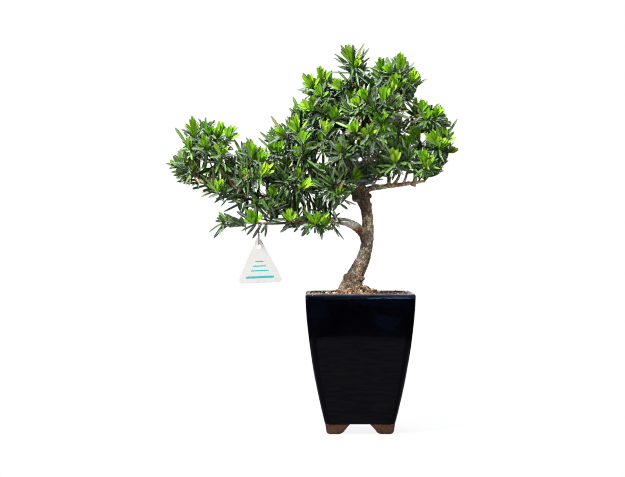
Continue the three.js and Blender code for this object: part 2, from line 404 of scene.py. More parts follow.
potShape = {
    "height": 151,
    "rimHalf": 58.4,
    "baseHalf": 37.6,
    "bellyPower": 1.65,
    "wall": 6,
    "floor": 8,
    "footHeight": 11,
    "cornerShare": 0.16,
    "cornerSteps": 14,
    "flatSteps": 16,
    "levels": 70,
    "innerLevels": 24,
    "lipRound": 2.9,
    "lipSteps": 12,
    "lipEase": 0.12,  # angle left out at both ends of the lip's round
    "soleEdge": ((1.2, 0), (0.2, 0.5)),  # in and up: the bare edge under the pot
    "soleGlazeEdge": 0.3,  # bare clay between the glaze and the feet
    "drainRadius": 7,
    "drainReach": 6,  # from the drain hole's circle to a squarer ring
    "wave": 0.28,  # unevenness of the glaze
    "waveSize": 26.0,
    "fineWave": (0.35, 9.0),  # share and size
}


def squareRing(cornerSteps, flatSteps, share):
    # points round a square of half width 1 with rounded corners
    def onCorner(start, angle):
        middle = start + math.pi / 4
        centre = np.sign([math.cos(middle), math.sin(middle)]) * (1 - share)
        return centre + share * np.array([math.cos(angle), math.sin(angle)])

    ring = []
    for corner in range(4):
        start = corner * math.pi / 2
        following = start + math.pi / 2
        ring += [onCorner(start, a) for a in np.linspace(start, following, cornerSteps)]
        arcEnd = ring[-1]
        nextStart = onCorner(following, following)
        ring += [arcEnd * (1 - t) + nextStart * t for t in np.linspace(0, 1, flatSteps + 1)[1:-1]]
    return np.array(ring)


def potHalfAt(height):
    p = potShape
    fromRim = (p["height"] - height) / (p["height"] - p["footHeight"])
    return p["rimHalf"] - (p["rimHalf"] - p["baseHalf"]) * max(fromRim, 0) ** p["bellyPower"]


def makePot(glaze, clay):
    p = potShape
    ring = squareRing(p["cornerSteps"], p["flatSteps"], p["cornerShare"])
    count = len(ring)
    angle = math.pi / 4 + (np.arange(count) - (p["cornerSteps"] - 1) / 2) * 2 * math.pi / count
    circle = np.stack([np.cos(angle), np.sin(angle)], 1)
    under = p["footHeight"]
    floor = under + p["floor"]
    lip = p["lipRound"]
    lipHeight = p["height"] - lip
    lipHalf = potHalfAt(lipHeight) - lip
    drain = p["drainRadius"]
    outside = np.linspace(under + p["soleGlazeEdge"], lipHeight, p["levels"])
    inside = np.linspace(lipHeight - 1, floor, p["innerLevels"])
    # half width, height, share of circle, glazed or not
    profile = [(drain, under, 1, 0), (drain + p["drainReach"], under, 0.5, 0)]
    profile += [(potHalfAt(under) - inset, under + rise, 0, 0) for inset, rise in p["soleEdge"]]
    profile += [(potHalfAt(z), z, 0, 1) for z in outside]
    profile += [(lipHalf + lip * math.cos(a), lipHeight + lip * math.sin(a), 0, 1)
                for a in np.linspace(p["lipEase"], math.pi - p["lipEase"], p["lipSteps"])]
    profile += [(potHalfAt(z) - p["wall"], z, 0, 1) for z in inside]
    profile += [(drain + p["drainReach"], floor, 0.5, 0), (drain, floor, 1, 0)]
    points = np.array([
        np.column_stack([(ring * (1 - share) + circle * share) * half, np.full(count, height)])
        for half, height, share, _ in profile
    ])
    outward = unit(np.column_stack([ring, np.zeros(count)]))
    share, size = p["fineWave"]
    for level, row in enumerate(profile):
        if row[3]:
            swell = noiseAt(points[level], p["waveSize"]) + share * noiseAt(points[level], size, shift=4.0)
            points[level] += outward * (swell * p["wave"])[:, None]
    points[:, :, 2] = np.minimum(points[:, :, 2], p["height"])
    levels = len(profile)
    bare = [0 if profile[k][3] and profile[(k + 1) % levels][3] else 1 for k in range(levels)]
    piece = meshFromLists("glazedPot", points.reshape(-1, 3), ringFaces(levels, count, closed=True),
                          [glaze, clay], np.repeat(bare, count))
    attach(piece, "root")
    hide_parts("pot")


# In the finishes a noise is its scale, detail and stretch, a ramp is places with their colours, and a bump
# is its strength and height.
glazeFinish = {
    "roughness": 0.09,
    "specular": 0.030,
    "cloudScale": 28.0,
    "body": ((0.35, (0.0003, 0.0003, 0.0010)), (0.75, (0.0009, 0.0010, 0.0026))),
    "wisps": (110.0, 5.0, (1, 1, 2.2)),
    "wispSwing": (2.6, -0.8),  # stretches them, for ragged edges of the blue patches and painted highlights
    "brushed": (160.0, 3.0, (0.35, 0.35, 2.5)),
    # painted reflection of the floor: the lower flats are a little greyer
    "paintedReflection": ((0.35, (0.0014, 0.0014, 0.0023)), (0.65, (0.0031, 0.0031, 0.0044))),
    "paintedReflectionTop": (114, 109),  # heights where the painted reflection ends and where it is full
    "paintedReflectionEdge": ((60.0, 4.0), 14),  # the noise of its ragged edge, and how deep that is
    "flats": (0.20, 0.04),  # how far a face may be turned from the pot's four sides
    # the glaze thins towards the lip
    "lip": ((0.0, (0.0009, 0.0010, 0.0026)), (0.45, (0.012, 0.013, 0.020)), (0.8, (0.042, 0.043, 0.054))),
    "lipShare": ((0.0, black), (0.5, (0.8, 0.8, 0.8)), (0.8, white)),  # how much of it shows
    "lipDepth": 4.0,
    "lipEdge": ((120.0, 3.0), 1.0),  # as for the painted reflection
    "crest": (0.20, 0.19, 0.195),  # where it is worn through along the top
    "crestShare": ((0.84, black), (0.97, white)),
    "corner": (0.42, 0.40, 0.40),
    "cornerWear": (66, 78),  # how far out from the middle the corner wear starts and is full
    "ripples": (70.0, 3.0, (0.4, 0.4, 2.4)),
    "bump": (0.22, 0.4),
}
# Blue in the glaze: the thin bright lines just under the lip on the four sides are painted highlights, and
# the fainter patches are a deeper blue. Middle, reach, colour and strength.
glazeBluesAndHighlights = [
    ((23, -58, 146.4), (44, 16, 1.0), (0.030, 0.055, 0.095), 0.85),
    ((44, -58, 147.6), (20, 16, 0.9), (0.026, 0.045, 0.080), 0.70),
    ((-22, -58, 146.8), (34, 16, 2.0), (0.0030, 0.0042, 0.0100), 0.90),
    ((22, -57, 141), (36, 16, 6), (0.0007, 0.0012, 0.0036), 0.90),
    ((27, -57, 122), (13, 14, 10), (0.0012, 0.0019, 0.0052), 0.90),
    ((-46, -56, 134), (11, 14, 16), (0.0012, 0.0015, 0.0034), 0.80),
    ((-20, 58, 146.3), (46, 16, 1.0), (0.026, 0.046, 0.085), 0.80),
    ((-16, 57, 136), (30, 12, 8), (0.0010, 0.0015, 0.0044), 0.90),
    ((58, 16, 146.5), (16, 42, 1.0), (0.026, 0.046, 0.085), 0.80),
    ((57, -20, 134), (12, 22, 9), (0.0010, 0.0015, 0.0044), 0.90),
    ((-58, -4, 146.4), (16, 40, 1.0), (0.026, 0.046, 0.085), 0.80),
    ((-57, 18, 133), (12, 22, 9), (0.0010, 0.0015, 0.0044), 0.90),
]


def makeGlaze():
    g = glazeFinish
    glaze = Finish("blackGlaze", Roughness=g["roughness"], Specular_IOR_Level=g["specular"])
    body = glaze.ramp(glaze.noise(g["cloudScale"]), *g["body"])
    wisps = glaze.math("MULTIPLY_ADD", glaze.noise(*g["wisps"]), *g["wispSwing"])
    # painted highlight lines under the lip, and faint blue patches, laid over the glaze
    body = glaze.patches(wisps, body, glazeBluesAndHighlights)
    height = glaze.axis(glaze.coords, "Z")
    # painted reflection of the floor on the lower flats, left out at the corners
    edge, depth = g["paintedReflectionEdge"]
    low = glaze.math("MULTIPLY_ADD", glaze.noise(*edge), depth * mm, height)
    below = glaze.span(low, g["paintedReflectionTop"][0] * mm, g["paintedReflectionTop"][1] * mm)
    facing = glaze.node("ShaderNodeTexCoord").outputs["Normal"]
    turned = glaze.math("ABSOLUTE", glaze.math("MULTIPLY", glaze.axis(facing, "X"), glaze.axis(facing, "Y")))
    paintedReflectionShare = glaze.math("MULTIPLY", below, glaze.span(turned, *g["flats"]))
    body = glaze.mix(paintedReflectionShare, body, glaze.ramp(glaze.noise(*g["brushed"]), *g["paintedReflection"]))
    edge, depth = g["lipEdge"]
    ragged = glaze.math("MULTIPLY_ADD", glaze.noise(*edge), depth * mm, height)
    top = potShape["height"] + depth / 2
    toTop = glaze.span(ragged, (top - g["lipDepth"]) * mm, top * mm)
    flat = glaze.vector("MULTIPLY", glaze.vector("SUBTRACT", glaze.coords, potMiddle), (1, 1, 0))
    corner = glaze.span(glaze.length(flat), g["cornerWear"][0] * mm, g["cornerWear"][1] * mm)
    crest = glaze.mix(corner, g["crest"], g["corner"])
    worn = glaze.mix(glaze.ramp(toTop, *g["crestShare"]), glaze.ramp(toTop, *g["lip"]), crest)
    glaze.color(glaze.mix(glaze.ramp(toTop, *g["lipShare"]), body, worn))
    glaze.bump(glaze.noise(*g["ripples"]), *g["bump"])
    return glaze.material


clayFinish = {
    "roughness": 0.9,
    "specular": 0.15,
    "cloud": (160.0, 5.0),
    "body": ((0.3, (0.031, 0.0120, 0.0080)), (0.7, (0.070, 0.0290, 0.0190))),
    "grit": (1400.0, 2.0),
    "speck": (0.130, 0.070, 0.050),
    "speckShare": ((0.64, black), (0.7, white)),
    "bump": (0.5, 0.3),
}


def makeClay():
    c = clayFinish
    clay = Finish("firedClay", Roughness=c["roughness"], Specular_IOR_Level=c["specular"])
    base = clay.ramp(clay.noise(*c["cloud"]), *c["body"])
    grit = clay.noise(*c["grit"])
    clay.color(clay.mix(clay.ramp(grit, *c["speckShare"]), base, c["speck"]))
    clay.bump(grit, *c["bump"])
    return clay.material


footShape = {
    "height": 11,
    "intoPot": 0.15,
    "soleOuter": 35.6,
    "soleInner": 19,
    "topInner": 10.5,
    "topInset": 0.3,  # from the pot's lower edge
    "innerPower": 1.25,
    "round": 3.4,  # the soft edge round the sole
    "cornerShare": 0.32,
    "cornerSteps": 6,
    "flatSteps": 4,
    "levels": 14,
    "wobble": (6.0, 0.25),  # size and depth
}


def makeFeet(clay):
    f = footShape
    size, depth = f["wobble"]
    for name, signX, signY in (("foot_front_left", -1, -1), ("foot_front_right", 1, -1),
                               ("foot_back_left", -1, 1), ("foot_back_right", 1, 1)):
        rows = []
        for level in range(f["levels"] + 1):
            z = f["height"] * level / f["levels"] + f["intoPot"] * (level == f["levels"])
            share = z / f["height"]
            low = f["soleInner"] + (f["topInner"] - f["soleInner"]) * share ** f["innerPower"]
            high = f["soleOuter"] + (potShape["baseHalf"] - f["topInset"] - f["soleOuter"]) * share
            tuck = f["round"] - math.sqrt(max(f["round"]**2 - max(f["round"] - z, 0)**2, 0))
            low += tuck
            high -= tuck
            ring = squareRing(f["cornerSteps"], f["flatSteps"], f["cornerShare"])
            ring = ring * (high - low) / 2 + (high + low) / 2
            rows.append(np.column_stack([ring[:, 0] * signX, ring[:, 1] * signY, np.full(len(ring), z)]))
        points = np.array(rows)
        wobble = noiseAt(points.reshape(-1, 3), size).reshape(points.shape[:2])
        inner = points[1:-1, :, :2]
        inner += unit(inner - inner.mean(1, keepdims=True)) * wobble[1:-1, :, None] * depth
        faces = endCaps(*points.shape[:2]) + ringFaces(*points.shape[:2])
        if signX * signY < 0:
            faces = [face[::-1] for face in faces]
        piece = meshFromLists(name + "_clay", points.reshape(-1, 3), faces, [clay])
        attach(piece, "root")
        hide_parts(name)


clay = makeClay()
makePot(makeGlaze(), clay)
makeFeet(clay)
print("pot and feet made")


soilShape = {
    "edge": 147.9,  # height at the wall
    "crown": 155.2,  # height round the trunk
    "moundReach": 24,
    "trunkPlace": (-5, 0),
    "heaps": [((4, -9), 9, 3.4), ((14, -14), 10, 1.6), ((-46, -30), 7, 1.4)],  # place, reach, rise
    "gaps": (0.1, 0.3, 0.2),  # to the wall at the top and at the bottom, and to the floor
    "rings": 26,
    "innermost": 0.02,  # the smallest ring, as a share of the largest
    "cornerSteps": 8,
    "flatSteps": 8,
    "crumbs": (4.0, 0.5),  # size and height
    "roughness": 0.95,
    "pattern": (500.0, 5.0),
    "colors": ((0.35, "black"), (0.7, "brown")),  # by the grains' colours
}
grainShape = {
    "count": 4200,
    "size": (0.6, 2.2),  # half sizes
    "sizePower": 2.6,  # most are small
    "fromWall": 1.6,
    "sunk": (-0.2, 0.55),  # how far its middle lies over the soil, as a share of its size
    "uneven": 0.22,
    "squash": (0.65, 1.2),
    "darker": (6, 20, 0.46),  # browner towards the right: from here, over this stretch, by this share
    "roughness": 0.92,
    "specular": 0.25,
}
grainColors = named({
    "tan": ((0.300, 0.185, 0.110), 0.38),
    "pale": ((0.480, 0.370, 0.270), 0.12),
    "rust": ((0.200, 0.085, 0.045), 0.17),
    "brown": ((0.085, 0.045, 0.026), 0.23),
    "black": ((0.020, 0.013, 0.009), 0.10),
}, "color", "share")


def soilHeight(x, y):
    s = soilShape
    fromTrunk = np.hypot(x - s["trunkPlace"][0], y - s["trunkPlace"][1])
    height = s["edge"] + (s["crown"] - s["edge"]) * np.exp(-(fromTrunk / s["moundReach"]) ** 2)
    for place, reach, rise in s["heaps"]:
        height = height + rise * np.exp(-(np.hypot(x - place[0], y - place[1]) / reach) ** 2)
    return height


def makeSoil():
    s = soilShape
    ring = squareRing(s["cornerSteps"], s["flatSteps"], potShape["cornerShare"])
    floor = potShape["footHeight"] + potShape["floor"]
    topGap, lowGap, floorGap = s["gaps"]
    inner = potHalfAt(potShape["height"]) - potShape["wall"] - topGap
    base = potHalfAt(floor) - potShape["wall"] - lowGap
    rows = []
    for share in np.linspace(s["innermost"], 1, s["rings"]):
        flat = ring * inner * share
        rows.append(np.column_stack([flat, soilHeight(flat[:, 0], flat[:, 1])]))
    rows.append(np.column_stack([ring * base, np.full(len(ring), floor + floorGap)]))
    points = np.array(rows)
    count = len(ring)
    size, rise = s["crumbs"]
    top = points[:-2].reshape(-1, 3)
    top[:, 2] += rise * noiseAt(top, size)
    faces = [cap[::-1] for cap in endCaps(len(rows), count)]
    faces += [[a, d, c, b] for a, b, c, d in ringFaces(len(rows), count)]
    soil = Finish("soilBed", Roughness=s["roughness"])
    colors = [(place, grainColors[name]["color"]) for place, name in s["colors"]]
    soil.color(soil.ramp(soil.noise(*s["pattern"]), *colors))
    bed = meshFromLists("soilBed", points.reshape(-1, 3), faces, [soil.material])
    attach(bed, "root")
    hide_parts("soil")


def ballPoints():
    # the twelve points and twenty faces of a regular ball
    g = (1 + math.sqrt(5)) / 2
    points = [(-1, g, 0), (1, g, 0), (-1, -g, 0), (1, -g, 0), (0, -1, g), (0, 1, g),
              (0, -1, -g), (0, 1, -g), (g, 0, -1), (g, 0, 1), (-g, 0, -1), (-g, 0, 1)]
    faces = [(0, 11, 5), (0, 5, 1), (0, 1, 7), (0, 7, 10), (0, 10, 11), (1, 5, 9), (5, 11, 4),
             (11, 10, 2), (10, 7, 6), (7, 1, 8), (3, 9, 4), (3, 4, 2), (3, 2, 6), (3, 6, 8), (3, 8, 9),
             (4, 9, 5), (2, 4, 11), (6, 2, 10), (8, 6, 7), (9, 8, 1)]
    return unit(np.array(points, float)), np.array(faces)


def makeGrains():
    s = grainShape
    half = potShape["rimHalf"] - potShape["wall"] - s["fromWall"]
    place = draw.uniform(-half, half, (s["count"], 2))
    corner = half * potShape["cornerShare"]
    past = np.maximum(np.abs(place) - (half - corner), 0)
    place = place[np.hypot(past[:, 0], past[:, 1]) < corner]
    count = len(place)
    small, large = s["size"]
    size = small + (large - small) * draw.random(count) ** s["sizePower"]
    height = soilHeight(place[:, 0], place[:, 1]) + size * draw.uniform(*s["sunk"], count)
    ball, ballFaces = ballPoints()
    shape = ball[None] * (1 + draw.uniform(-s["uneven"], s["uneven"], (count, len(ball), 1)))
    shape = shape * (size[:, None] * draw.uniform(*s["squash"], (count, 3)))[:, None]
    turn = draw.normal(size=(count, 4))
    turn /= np.linalg.norm(turn, axis=1, keepdims=True)
    w, x, y, z = turn.T
    spin = np.array([[1 - 2 * (y * y + z * z), 2 * (x * y - z * w), 2 * (x * z + y * w)],
                     [2 * (x * y + z * w), 1 - 2 * (x * x + z * z), 2 * (y * z - x * w)],
                     [2 * (x * z - y * w), 2 * (y * z + x * w), 1 - 2 * (x * x + y * y)]])
    points = np.einsum("ijn,nkj->nki", spin, shape)
    points += np.column_stack([place, height])[:, None]
    faces = ballFaces[None] + (np.arange(count) * len(ball))[:, None, None]
    start, stretch, strength = s["darker"]
    chance = draw.random(count) + strength * np.clip((place[:, 0] - start) / stretch, 0, 1)
    edges = np.cumsum([grain["share"] for grain in grainColors.values()])
    pick = np.minimum(np.searchsorted(edges, chance), len(edges) - 1)
    materials = [plainMaterial("grain" + name.capitalize(), Base_Color=(*grain["color"], 1),
                               Roughness=s["roughness"], Specular_IOR_Level=s["specular"])
                 for name, grain in grainColors.items()]
    grains = meshFromArrays("soilGrains", points.reshape(-1, 3), faces.reshape(-1, 3),
                            np.repeat(pick, len(ballFaces)), materials, smooth=False)
    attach(grains, "root")


makeSoil()
makeGrains()
print("soil made")


# Each limb's radius at both ends, how many rings it has, and its points.
limbs = named({
    "trunk": (6.4, 5.6, 120, [(-9, 0, 150), (-8.5, 0, 155), (-7, 1, 162), (-1.5, 2, 175), (4.5, 2, 187),
        (8.6, 1, 203), (9.4, -1, 225), (7.3, -1, 242), (0, 0, 263), (-3, 1, 272)]),
    "leader": (6.0, 1.2, 60, [(2, 0, 256), (-3, 1, 270), (-9, 4, 295), (-14, 5, 330), (-8, 2, 371),
        (-7, 0, 395)]),
    "right_bough": (3.6, 1.5, 40, [(2, 0, 258), (10, -3, 263.2), (23, -6, 265.4), (46, -10, 267.9),
        (71, -9, 271.7)]),
    "left_low_bough": (6.2, 2.0, 44, [(9, 0, 203), (5, -2, 214), (-5, -6, 223), (-19, -10, 228),
        (-41, -13, 229), (-60, -15, 227.5)]),
    "left_rising_bough": (1.6, 1.0, 16, [(-36, -12, 229), (-31, -8, 242), (-26, -6, 253), (-23, -8, 268)]),
    "low_outer_bough": (1.8, 0.9, 30, [(-56, -15, 228), (-69, -15, 227), (-96, -13, 225.5),
        (-125, -12, 227), (-150, -12, 229)]),
    "left_long_bough": (4.6, 1.3, 60, [(-5, 1, 272), (-20, 2, 279), (-44, 0, 276), (-84, -4, 271),
        (-121, -6, 278), (-139, -6, 282), (-157, -4, 293), (-168, -4, 306)]),
    "right_upper_bough": (3.1, 1.2, 30, [(-7, 4, 287), (16, 12, 298), (46, 15, 313), (71, 10, 329)]),
    "top_right_bough": (2.5, 1.1, 24, [(-13, 5, 329), (5, 6, 342), (23, 4, 357), (37, 2, 378)]),
    "top_left_bough": (2.3, 1.1, 24, [(-13, 5, 322), (-24, 4, 338), (-34, 3, 352), (-41, 2, 366)]),
    "left_shoulder_bough": (2.8, 1.2, 24, [(-11, 4, 303), (-34, 0, 308), (-54, -4, 315), (-74, -5, 325)]),
    "front_bough": (2.4, 1.1, 20, [(-11, 3, 305), (-3, -14, 316), (7, -28, 328), (15, -38, 342)]),
    "back_left_bough": (2.8, 1.2, 24, [(-11, 6, 295), (-29, 24, 303), (-47, 38, 311), (-57, 46, 321)]),
    "back_right_bough": (2.8, 1.2, 24, [(-11, 6, 299), (5, 24, 309), (25, 38, 319), (37, 46, 330)]),
    "left_edge_twig": (1.9, 0.8, 50, [(-84, -5, 270), (-106, -9, 252), (-124, -10, 253), (-142, -10, 255),
        (-160, -10, 262), (-173, -10, 273), (-184, -10, 281), (-197, -10, 288)]),
    "left_inner_twig": (1.6, 1.0, 20, [(-142, -12, 254), (-132, -20, 262), (-125, -24, 273),
        (-120, -24, 286)]),
    "right_twig_a": (2.3, 1.2, 12, [(31, -8, 266), (32, -8, 271), (31, -8, 277), (25, -8, 286)]),
    "right_twig_b": (2.0, 1.2, 12, [(32, -8, 267), (33, -9, 277), (34, -10, 288)]),
    "right_twig_c": (1.8, 1.1, 14, [(36, -9, 267), (42, -10, 275), (45, -12, 285), (47, -14, 296)]),
    "right_twig_d": (1.6, 1.0, 10, [(47, -10, 268), (50, -9, 275), (53, -8, 286)]),
    "right_knob": (2.9, 1.2, 12, [(58, -11, 266), (60, -12, 272), (61, -12, 279), (66, -12, 290)]),
    "right_twig_e": (1.2, 0.8, 10, [(13, -5, 265), (20, -8, 275), (24, -8, 284)]),
    "right_end_twig": (1.3, 0.7, 18, [(61, -12, 277), (72, -13, 283), (83, -13, 289), (93, -13, 298)]),
}, "thick", "thin", "rings", "path")
trunkShape = {
    "around": 28,
    "soil": 155,
    "flareReach": 18,
    "flareExtra": 6,
    "knotHeight": 258,
    "knotReach": 8,
    "knotExtra": 3.0,
    "rootRidges": 5,
    "ridgeDepth": 0.22,
    "ridgeBend": 0.8,
}
limbShape = {"around": 10, "taper": 0.9}
knobShape = {"around": 12, "end": 0.96, "rings": 9}
barkRelief = {
    "voxel": 0.60,
    "soften": (0.6, 4),  # strength and rounds
    "plateStretch": (1, 1, 0.5),
    "plateSize": 3.6,
    "plates": 0.60,
    "plateLevel": 0.4,  # what stands above this rises, and the rest sinks
    "gritSize": 1.5,
    "grit": 0.32,
    "lumpSize": 8.0,
    "lumps": 0.55,
    "fullRadius": 6.0,  # thinner limbs have a shallower relief
    "depths": (0.12, 1.2),
    "foot": 150.0,
    "atOnce": 4000,  # points measured at once, which saves memory
}
# Knobs and burrs, grown into the bark: middle and radius.
knobs = [
    ((10.4, -2, 255.7), 2.9), ((10.6, -1, 245.5), 3.2), ((-5.5, -3, 260), 4.6), ((-4.0, -4, 253.5), 4.4),
    ((-14.2, 0, 167), 3.6), ((4, -6, 250), 3.0), ((3.6, 5, 262), 4.2), ((9, 4, 232), 3.2),
    ((24, -7, 266), 2.2), ((40, -10, 269), 1.8), ((53, -10, 270), 1.8), ((-2, -5, 262), 4.0),
    ((-24, -10, 229), 2.9), ((2.5, -5, 166), 3.4),
]


def limbTube(name, limb):
    path = smoothPath(limb["path"], limb["rings"])
    share = np.linspace(0, 1, limb["rings"])
    radii = limb["thick"] + (limb["thin"] - limb["thick"]) * share ** limbShape["taper"]
    if name != "trunk":
        return path, radii, limbShape["around"]
    s = trunkShape
    flare = np.exp(-np.maximum(path[:, 2] - s["soil"], 0) / s["flareReach"])
    knot = np.exp(-((path[:, 2] - s["knotHeight"]) / s["knotReach"]) ** 2)
    radii = radii + s["flareExtra"] * flare + s["knotExtra"] * knot
    turn = turnsRound(s["around"])[None]
    ridges = np.cos(s["rootRidges"] * turn + s["ridgeBend"] * np.sin(turn * 2))
    return path, radii[:, None] * (1 + s["ridgeDepth"] * flare[:, None] ** 2 * ridges), s["around"]


def roughLimbs(tubes):
    # the tubes welded into one skin and softened, as a mesh
    rough = meshFromLists("roughLimbs", *joinTubes(tubes), [])
    weld = rough.modifiers.new("weld", "REMESH")
    weld.mode = "VOXEL"
    weld.voxel_size = barkRelief["voxel"] * mm
    soften = rough.modifiers.new("soften", "SMOOTH")
    soften.factor, soften.iterations = barkRelief["soften"]
    mesh = bpy.data.meshes.new_from_object(rough.evaluated_get(bpy.context.evaluated_depsgraph_get()))
    bpy.data.objects.remove(rough)
    mesh.materials.clear()
    return mesh


def makeBarkPiece():
    r = barkRelief
    tubes = []
    spine = []  # middle and radius of every ring, for the relief's depth
    for name, limb in limbs.items():
        path, radii, around = limbTube(name, limb)
        tubes.append(tube(path, radii, around))
        spine.append(np.column_stack([path, radii.mean(1) if radii.ndim == 2 else radii]))
    for place, radius in knobs:
        rise = np.linspace(-knobShape["end"], knobShape["end"], knobShape["rings"])
        path = np.array(place) + rise[:, None] * radius * up
        tubes.append(tube(path, radius * np.sqrt(1 - rise**2), knobShape["around"]))
    mesh = roughLimbs(tubes)
    count = len(mesh.vertices)
    places = np.empty(count * 3)
    normals = np.empty(count * 3)
    mesh.vertices.foreach_get("co", places)
    mesh.vertices.foreach_get("normal", normals)
    places = fromFrame(places.reshape(-1, 3))
    spine = np.vstack(spine)
    thick = np.empty(count)
    for low in range(0, count, r["atOnce"]):
        part = places[low:low + r["atOnce"]]
        away = np.linalg.norm(part[:, None] - spine[None, :, :3], axis=2) - spine[None, :, 3]
        thick[low:low + r["atOnce"]] = spine[np.argmin(away, axis=1), 3]
    depth = np.clip(thick / r["fullRadius"], *r["depths"])
    plates = 1 - 2 * np.abs(noiseAt(places * np.array(r["plateStretch"]), r["plateSize"]))
    swell = (r["plates"] * (plates - r["plateLevel"])
             + r["grit"] * noiseAt(places, r["gritSize"], shift=7.0)
             + r["lumps"] * noiseAt(places, r["lumpSize"], shift=3.0))
    places = places + normals.reshape(-1, 3) * (swell * depth)[:, None]
    places[:, 2] = np.maximum(places[:, 2], r["foot"])
    mesh.vertices.foreach_set("co", toFrame(places).ravel())
    piece = makeObject("barkLimbs", mesh, [makeBark()])
    mesh.update()
    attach(piece, "root")
    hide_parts(*[name for name in limbs if name in frame["nodes"]])
    print("bark piece:", count, "points")


barkFinish = {
    "roughness": 0.9,
    "plateScale": 400.0,  # small plates, about two millimetres across
    "plateStretch": (1, 1, 0.7),
    "warp": (260.0, 3.0, 2.4),  # scale, detail, and how far it bends the plates
    "broad": (120.0, 5.0, (1, 1, 0.5)),
    "broadShare": 0.55,  # how much of the colour goes by a broad cloud, and the rest by plates
    "body": ((0.18, (0.092, 0.062, 0.040)), (0.42, (0.180, 0.142, 0.092)),
             (0.62, (0.335, 0.262, 0.180)), (0.85, (0.500, 0.435, 0.355))),
    "gritScale": 700.0,
    "grit": (0.580, 0.530, 0.460),
    "gritShare": ((0.60, black), (0.70, (0.8, 0.8, 0.8))),
    "cracks": (200.0, 3.0),
    "crack": (0.028, 0.018, 0.011),
    "crackWidth": 0.18,
    "crackEdge": (-0.03, 0.05, 0.0, 0.85),
    "patchEdgeScale": 150.0,
    "bump": (0.6, 0.5),
}
# Places where the bark is lighter, darker or redder, among them painted shade and painted light: middle,
# reach, tint and how strongly it shows.
barkPatches = [
    ((0, -3, 259), (17, 18, 13), (0.38, 0.30, 0.25), 0.95),  # the dark knob at the fork
    ((8, -3, 244), (12, 18, 14), (0.72, 0.52, 0.42), 0.85),  # redder below it
    ((4, -2, 228), (6, 18, 36), (0.52, 0.44, 0.37), 0.75),  # shaded left side
    ((14, -3, 218), (4.4, 16, 28), (1.45, 1.42, 1.40), 0.9),  # pale strip on the right
    ((-9, -9, 226), (12, 18, 9), (1.90, 1.75, 1.80), 1.0),  # smooth patch on the low bough
    ((-1, -6, 217), (7, 16, 6), (1.35, 0.92, 0.78), 0.9),
    ((3, -6, 174), (5, 16, 12), (1.00, 0.66, 0.58), 0.8),  # reddish streak
    ((-9, -7, 163), (11, 16, 9), (0.46, 0.37, 0.30), 0.85),
    ((40, -9, 267), (44, 20, 12), (2.70, 2.20, 2.02), 0.9),  # the right bough is redder, and lighter as painted light against the crown's shadow on it
    ((36, -10, 282), (34, 16, 10), (0.34, 0.42, 0.34), 0.9),  # its upright twigs are dark and olive
    ((-8, 3, 384), (16, 18, 40), (0.60, 0.50, 0.36), 0.9),  # the leader's green-brown top
    ((4, 8, 236), (10, 9, 22), (0.45, 0.38, 0.32), 0.8),
    ((-4, 8, 180), (9, 9, 16), (1.40, 1.38, 1.35), 0.7),
    ((-60, -14, 226), (42, 16, 10), (0.80, 0.62, 0.52), 0.9),
]
# Places where the old bark has worn smooth and pale: middle, reach, colour and strength.
smoothPatches = [
    ((-10, -9, 226), (11, 18, 7), (0.46, 0.41, 0.40), 0.75),
    ((40, -10, 271), (3, 12, 6), (0.30, 0.25, 0.15), 0.5),
    ((60, -12, 275), (4.5, 12, 9), (0.34, 0.30, 0.17), 0.7),  # olive stub on the right bough
]


def makeBark():
    b = barkFinish
    bark = Finish("oldBark", Roughness=b["roughness"])
    ragged = bark.noise(b["patchEdgeScale"])
    scale, detail, bend = b["warp"]
    warp = bark.feed(bark.node("ShaderNodeTexNoise", Scale=scale, Detail=detail), bark.coords)
    bent = bark.vector("MULTIPLY_ADD", warp.outputs["Color"], [bend * mm] * 3, bark.coords)
    place = bark.feed(bark.node("ShaderNodeMapping", Scale=b["plateStretch"]), bent).outputs[0]
    plate, crack = [bark.node("ShaderNodeTexVoronoi", Scale=b["plateScale"], feature=feature)
                    for feature in ("F1", "DISTANCE_TO_EDGE")]
    bark.feed(plate, place)
    bark.feed(crack, place)
    shade = bark.feed(bark.node("ShaderNodeSeparateColor"), plate.outputs["Color"]).outputs[0]
    base = bark.ramp(bark.blend(b["broadShare"], shade, bark.noise(*b["broad"])), *b["body"])
    # the tints include painted shade on the trunk's left side and painted light on the right bough
    base = bark.patches(ragged, base, barkPatches, "MULTIPLY")
    grit = bark.noise(b["gritScale"])
    base = bark.mix(bark.ramp(grit, *b["gritShare"]), base, b["grit"])
    width = bark.math("MULTIPLY", bark.noise(*b["cracks"]), b["crackWidth"])
    lack = bark.math("SUBTRACT", width, crack.outputs["Distance"])
    base = bark.mix(bark.span(lack, *b["crackEdge"]), base, b["crack"])
    bark.color(bark.patches(ragged, base, smoothPatches))
    bark.bump(grit, *b["bump"])
    return bark.material


makeBarkPiece()


